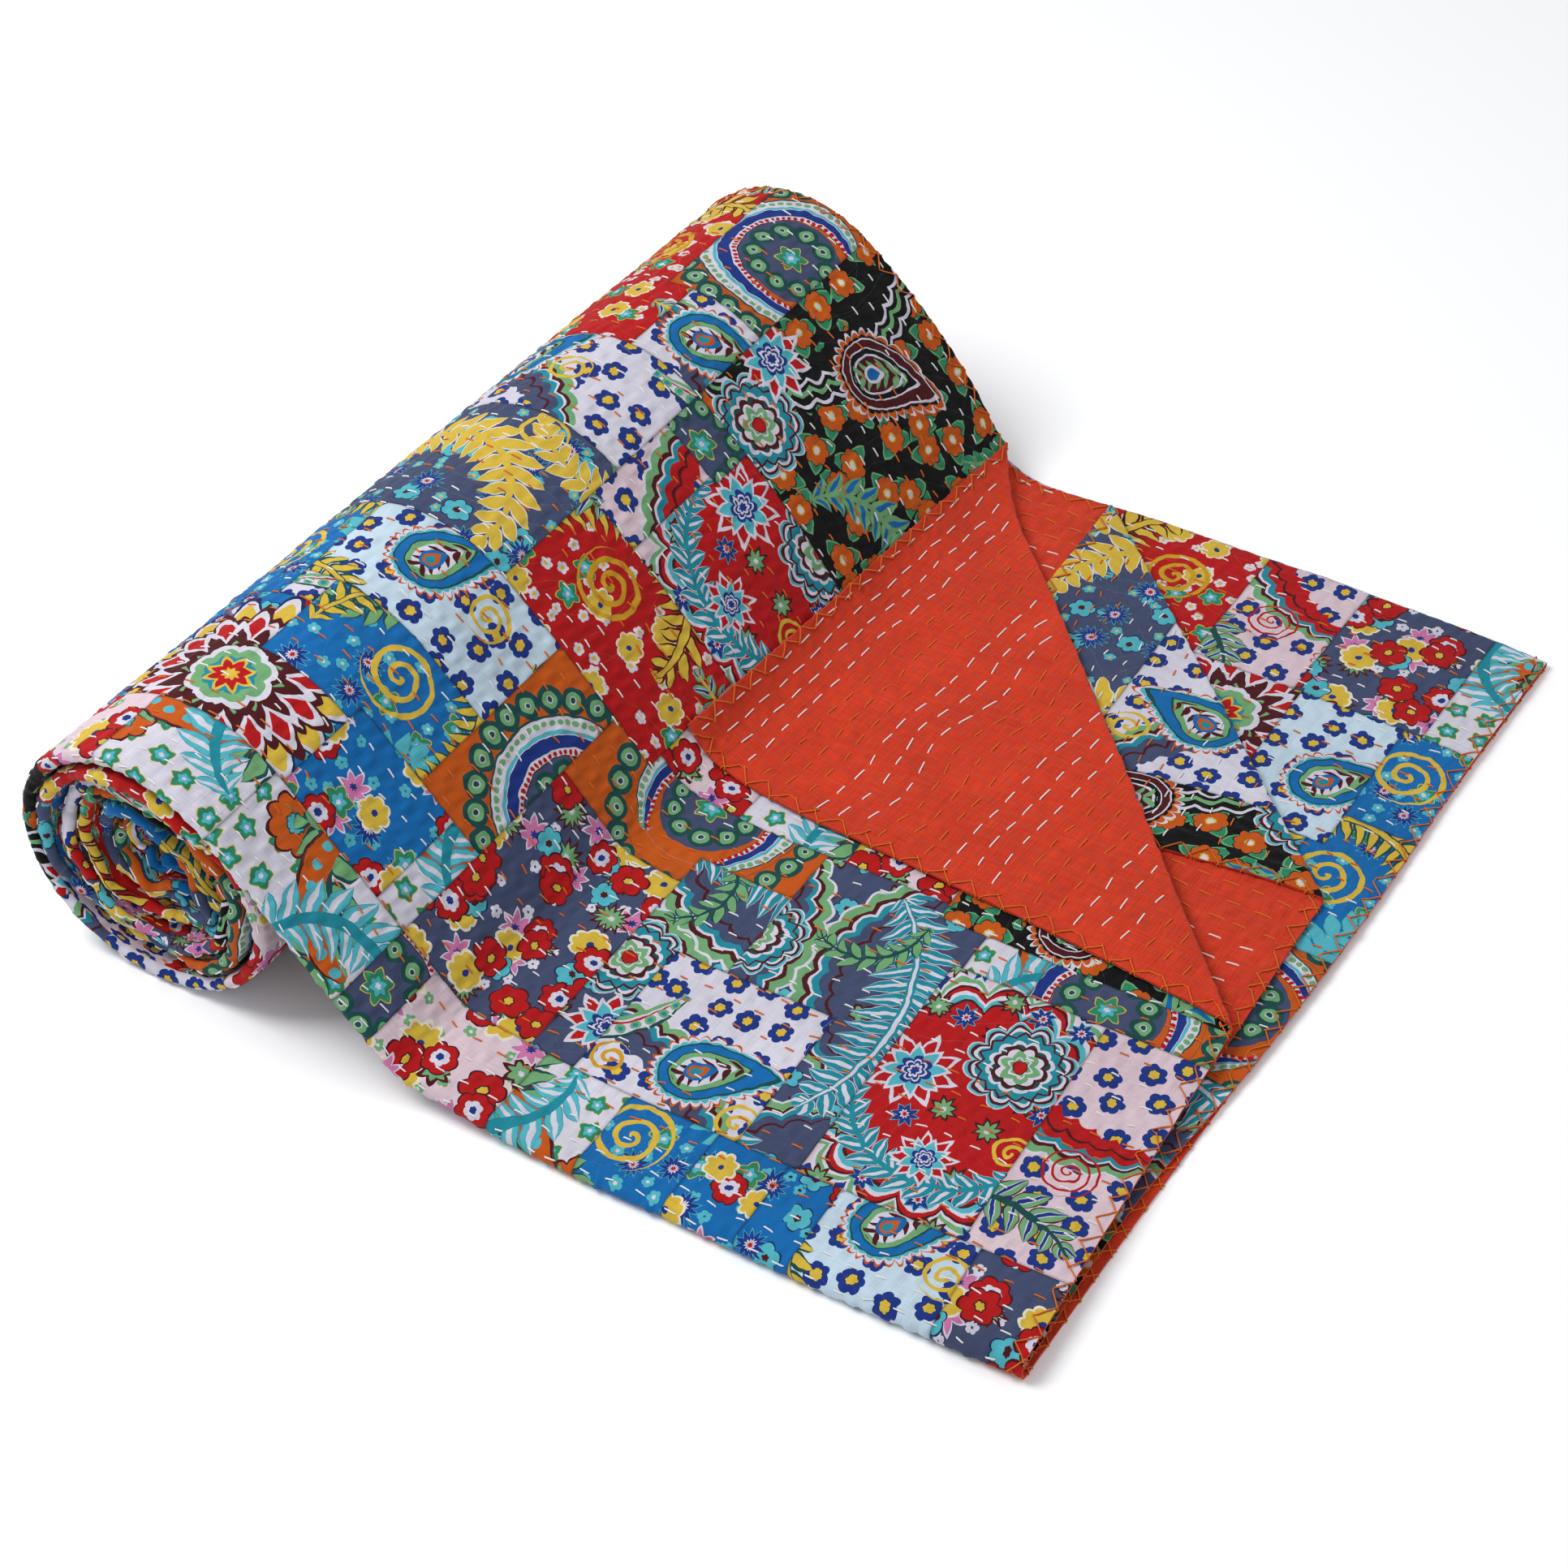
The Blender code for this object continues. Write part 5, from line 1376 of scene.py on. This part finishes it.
def dashes(along_range, way_range, side, keep=None):
    """The stitches of one face within a range of the two lengths: where each begins and ends along the strip,
    its way at both ends and its row. The reverse's dashes lie in the gaps of the print's."""
    rows = np.arange(math.ceil(way_range[0] / ROW_SPACING - 0.5), math.floor(way_range[1] / ROW_SPACING - 0.5) + 1)
    counts = np.arange(math.floor(along_range[0] / STITCH_PITCH), math.ceil(along_range[1] / STITCH_PITCH) + 1)
    row, count = (part.ravel() for part in np.meshgrid(rows, counts, indexing="ij"))
    start = np.sin(row * 12.9898) * 43758.5
    middle = (count + (start - np.floor(start)) + (0.5 if side < 0 else 0)) * STITCH_PITCH
    middle = middle + rng.normal(0, SHIFT_ALONG, len(middle))
    length = (PRINT_DASH if side > 0 else REVERSE_DASH) * rng.uniform(SHORTEST, LONGEST, len(middle))
    ends = [middle + length * share for share in (-0.5, 0.5)]
    ways = [(row + 0.5) * ROW_SPACING - row_shift(end, (row + 0.5) * ROW_SPACING) for end in ends]
    ways = [way + rng.normal(0, SHIFT_ACROSS, len(middle)) for way in ways]
    begins = loose_end(np.clip(ways[0], 0, STARTS[-1]))
    inside = (ends[0] > np.maximum(along_range[0], begins + FROM_END)) & (ends[1] < along_range[1])
    inside &= (np.minimum(*ways) > FROM_SELVAGE) & (np.maximum(*ways) < STARTS[-1] - FROM_SELVAGE)
    if keep is not None:
        inside &= keep(middle, (ways[0] + ways[1]) / 2)
    return [part[inside] for part in (*ends, *ways, row)]


SHARES = np.array([0.0, 0.16, 0.84, 1.0])
LIFTS = np.array([-0.0006, 0.0003, 0.0003, -0.0006])
SWELLS = np.array([0.7, 1.0, 1.0, 0.7])


def bars(start, end, way_start, way_end, side):
    """Stitches as tubes of four rings, which rise out of the face and dive in again."""
    along = start[:, None] + (end - start)[:, None] * SHARES
    way = way_start[:, None] + (way_end - way_start)[:, None] * SHARES
    flat_along, flat_way = along.ravel(), way.ravel()
    units = across_the_cloth(flat_along, flat_way)
    height = face_height(flat_along, flat_way, side) + side * np.tile(LIFTS, len(start))
    paths = (cloth_points(flat_along, flat_way) + units[2] * height[:, None]).reshape(*along.shape, 3)
    radii = np.broadcast_to(THREAD * SWELLS, along.shape)
    return tubes(paths, (side * units[2]).reshape(paths.shape), radii)


def past_crease(layer, along, way):
    """How far beyond a layer's crease a point is, in metres: what is more than zero has been turned back."""
    crossing, beyond = crease_length(layer, on_section(way)[2])
    return (crossing - along) * beyond[0]


# %% Make the running stitches
CLEAR = 0.006  # no stitch is made this close to a crease
visible = [  # the range along, the range across, the side, and what else keeps a stitch
    ((0.0, ROLLED), (0.0, UNDER + 0.004), 1, lambda a, w: past_crease("top", a, w) < -CLEAR),
    ((ROLLED, END_OF_ROLL - 0.01), (OVER - 0.02, UNDER + 0.02), 1, None),
    ((0.0, SPREAD), (0.0, OVER), -1, lambda a, w: past_crease("top", a, w) > CLEAR),
    ((0.0, SPREAD), (SECOND + 0.15, STARTS[7]), -1, lambda a, w: past_crease("second", a, w) < -CLEAR),
    ((0.0, SPREAD), (SECOND + 0.15, STARTS[7]), 1, lambda a, w: past_crease("second", a, w) > CLEAR),
    ((0.0, SPREAD), (MIDDLE, MIDDLE + 0.40), 1, None),
    ((0.0, 0.06), (UNDER, TURN_UP), -1, None),
]
white_thread = cotton("white cotton thread", lambda tree: dye(tree, "#FBF9FA"), 0.7, 0.1, 0.00005, 0.05)
orange_thread = cotton("orange cotton thread", lambda tree: dye(tree, "#E6721C"), 0.7, 0.1, 0.00005, 0.05)
bar_sets = {False: [], True: []}
for along_range, way_range, side, keep in visible:
    *ends, row = dashes(along_range, way_range, side, keep)
    for orange in (False, True):
        chosen = is_orange(row) == orange
        bar_sets[orange].append(bars(*[part[chosen] for part in ends], side))
thread_piece("white_stitches", bar_sets[False], white_thread)
thread_piece("orange_stitches", bar_sets[True], orange_thread)

# %% [markdown]
# ### The edge stitch
# All round the cloth's own edges, orange thread crosses from face to face: it slants out to the rim, wraps over
# it and slants in again on the other face, where it goes through the cloth and starts back. A second length of
# thread goes the same way half a step later, so that both faces show a zigzag and the threads cross on the rim.

# %% The edge stitch
# Share of a step along the edge, distance in from the rim and height over the middle of the cloth, in mm.
LEG = np.array([
    (0.00, 6.9, 0.4), (0.01, 6.7, 1.30), (0.12, 3.4, 1.30), (0.235, 0.2, 1.15), (0.25, -0.5, 0.0),
    (0.265, 0.2, -1.15), (0.38, 3.4, -1.30), (0.49, 6.7, -1.30),
])
EDGE_STEP, EDGE_RADIUS = 0.031, 0.00042


def edge_thread(start, end, lag, follow):
    """A thread along one edge. follow turns a distance along the edge and a distance in from it into the two
    lengths on the cloth, the unit vector inwards and the share of it beyond the rim."""
    steps = int((end - start) / EDGE_STEP)
    other_face = LEG * (1, 1, -1) + (0.5, 0, 0)
    table = np.concatenate([LEG, other_face])
    table = np.concatenate([table + (k, 0, 0) for k in range(steps)])
    jitter = np.repeat(rng.normal(0, 1, (steps * 2, 2)), len(LEG), axis=0) * (0.05, 0.12)
    s = start + (table[:, 0] + lag + jitter[:, 0]) * EDGE_STEP
    inward = table[:, 1] / 1000 * np.where(table[:, 1] > 1, 1 + jitter[:, 1], 1)
    along, way, inside_unit = follow(np.clip(s, start, end), np.maximum(inward, 0))
    units = across_the_cloth(along, way)
    inside = units[inside_unit[0]] * inside_unit[1]
    lift = wrinkles(along, way) + table[:, 2] / 1000
    path = cloth_points(along, way) + units[2] * lift[:, None] + inside * np.minimum(inward, 0)[:, None]
    radii = np.full((1, len(path)), EDGE_RADIUS)
    return tubes(path[None], (units[2] + 0.6 * inside)[None], radii)


def selvage(s, inward):
    return s, inward, (1, 1)


def far_selvage(s, inward):
    return s, STARTS[-1] - inward, (1, -1)


def end_of_cloth(s, inward):
    return loose_end(s) + inward, s, (0, 1)


edges = []
for lag in (0.0, 0.47):
    edges.append(edge_thread(loose_end(np.zeros(1))[0], ROLLED, lag, selvage))
    edges.append(edge_thread(loose_end(STARTS[-1:])[0], SPREAD, lag, far_selvage))
    edges.append(edge_thread(0.0, STARTS[-1], lag, end_of_cloth))
thread_piece("edge_stitches", edges, orange_thread)

# %% [markdown]
# ## Floor, light and camera
# The quilt was photographed on white, in soft light from above and a little from the front. A white floor under
# an even white sky gives that, with one large lamp for the gentle shading of the folds.

# %% Floor
STAGE_WHITE = (0.93, 0.93, 0.94, 1)
floor_mesh = bpy.data.meshes.new("floor")
floor_mesh.from_pydata([(-6, -6, 0), (6, -6, 0), (6, 6, 0), (-6, 6, 0)], [], [(0, 1, 2, 3)])
floor = bpy.data.objects.new("floor", floor_mesh)
bpy.context.scene.collection.objects.link(floor)
floor_paint = bpy.data.materials.new("white backdrop paper")
floor_paint.use_nodes = True
floor_paint.node_tree.nodes["Principled BSDF"].inputs["Base Color"].default_value = STAGE_WHITE
floor_paint.node_tree.nodes["Principled BSDF"].inputs["Roughness"].default_value = 0.9
floor_mesh.materials.append(floor_paint)

# %% Light
SKY_STRENGTH, LAMP_WATTS, LAMP_SIZE = 0.72, 24, 0.9
sky = bpy.data.worlds.new("soft white sky")
sky.use_nodes = True
sky.node_tree.nodes["Background"].inputs["Color"].default_value = (0.97, 0.985, 1.0, 1)
sky.node_tree.nodes["Background"].inputs["Strength"].default_value = SKY_STRENGTH
bpy.context.scene.world = sky


def aim(made, start, target):
    """Puts a lamp or camera at a point and turns it to look at another."""
    made.location = start
    made.rotation_euler = (Vector(target) - Vector(start)).to_track_quat("-Z", "Y").to_euler()
    bpy.context.scene.collection.objects.link(made)


lamp = bpy.data.objects.new("window lamp", bpy.data.lights.new("window lamp", "AREA"))
lamp.data.energy, lamp.data.size = LAMP_WATTS, LAMP_SIZE
aim(lamp, (-0.9, -0.5, 1.5), (0, 0, 0))

# %% Camera, at the photograph's place
camera = bpy.data.objects.new("camera", bpy.data.cameras.new("camera"))
camera.data.lens = 80.1
aim(camera, np.add(ORIGIN, (0.8800, -0.8532, 1.2056)), np.add(ORIGIN, (0.2148, 0.2319, 0.05)))
bpy.context.scene.camera = camera
bpy.context.scene.view_settings.view_transform = "Standard"  # a dye then looks on screen as its code says
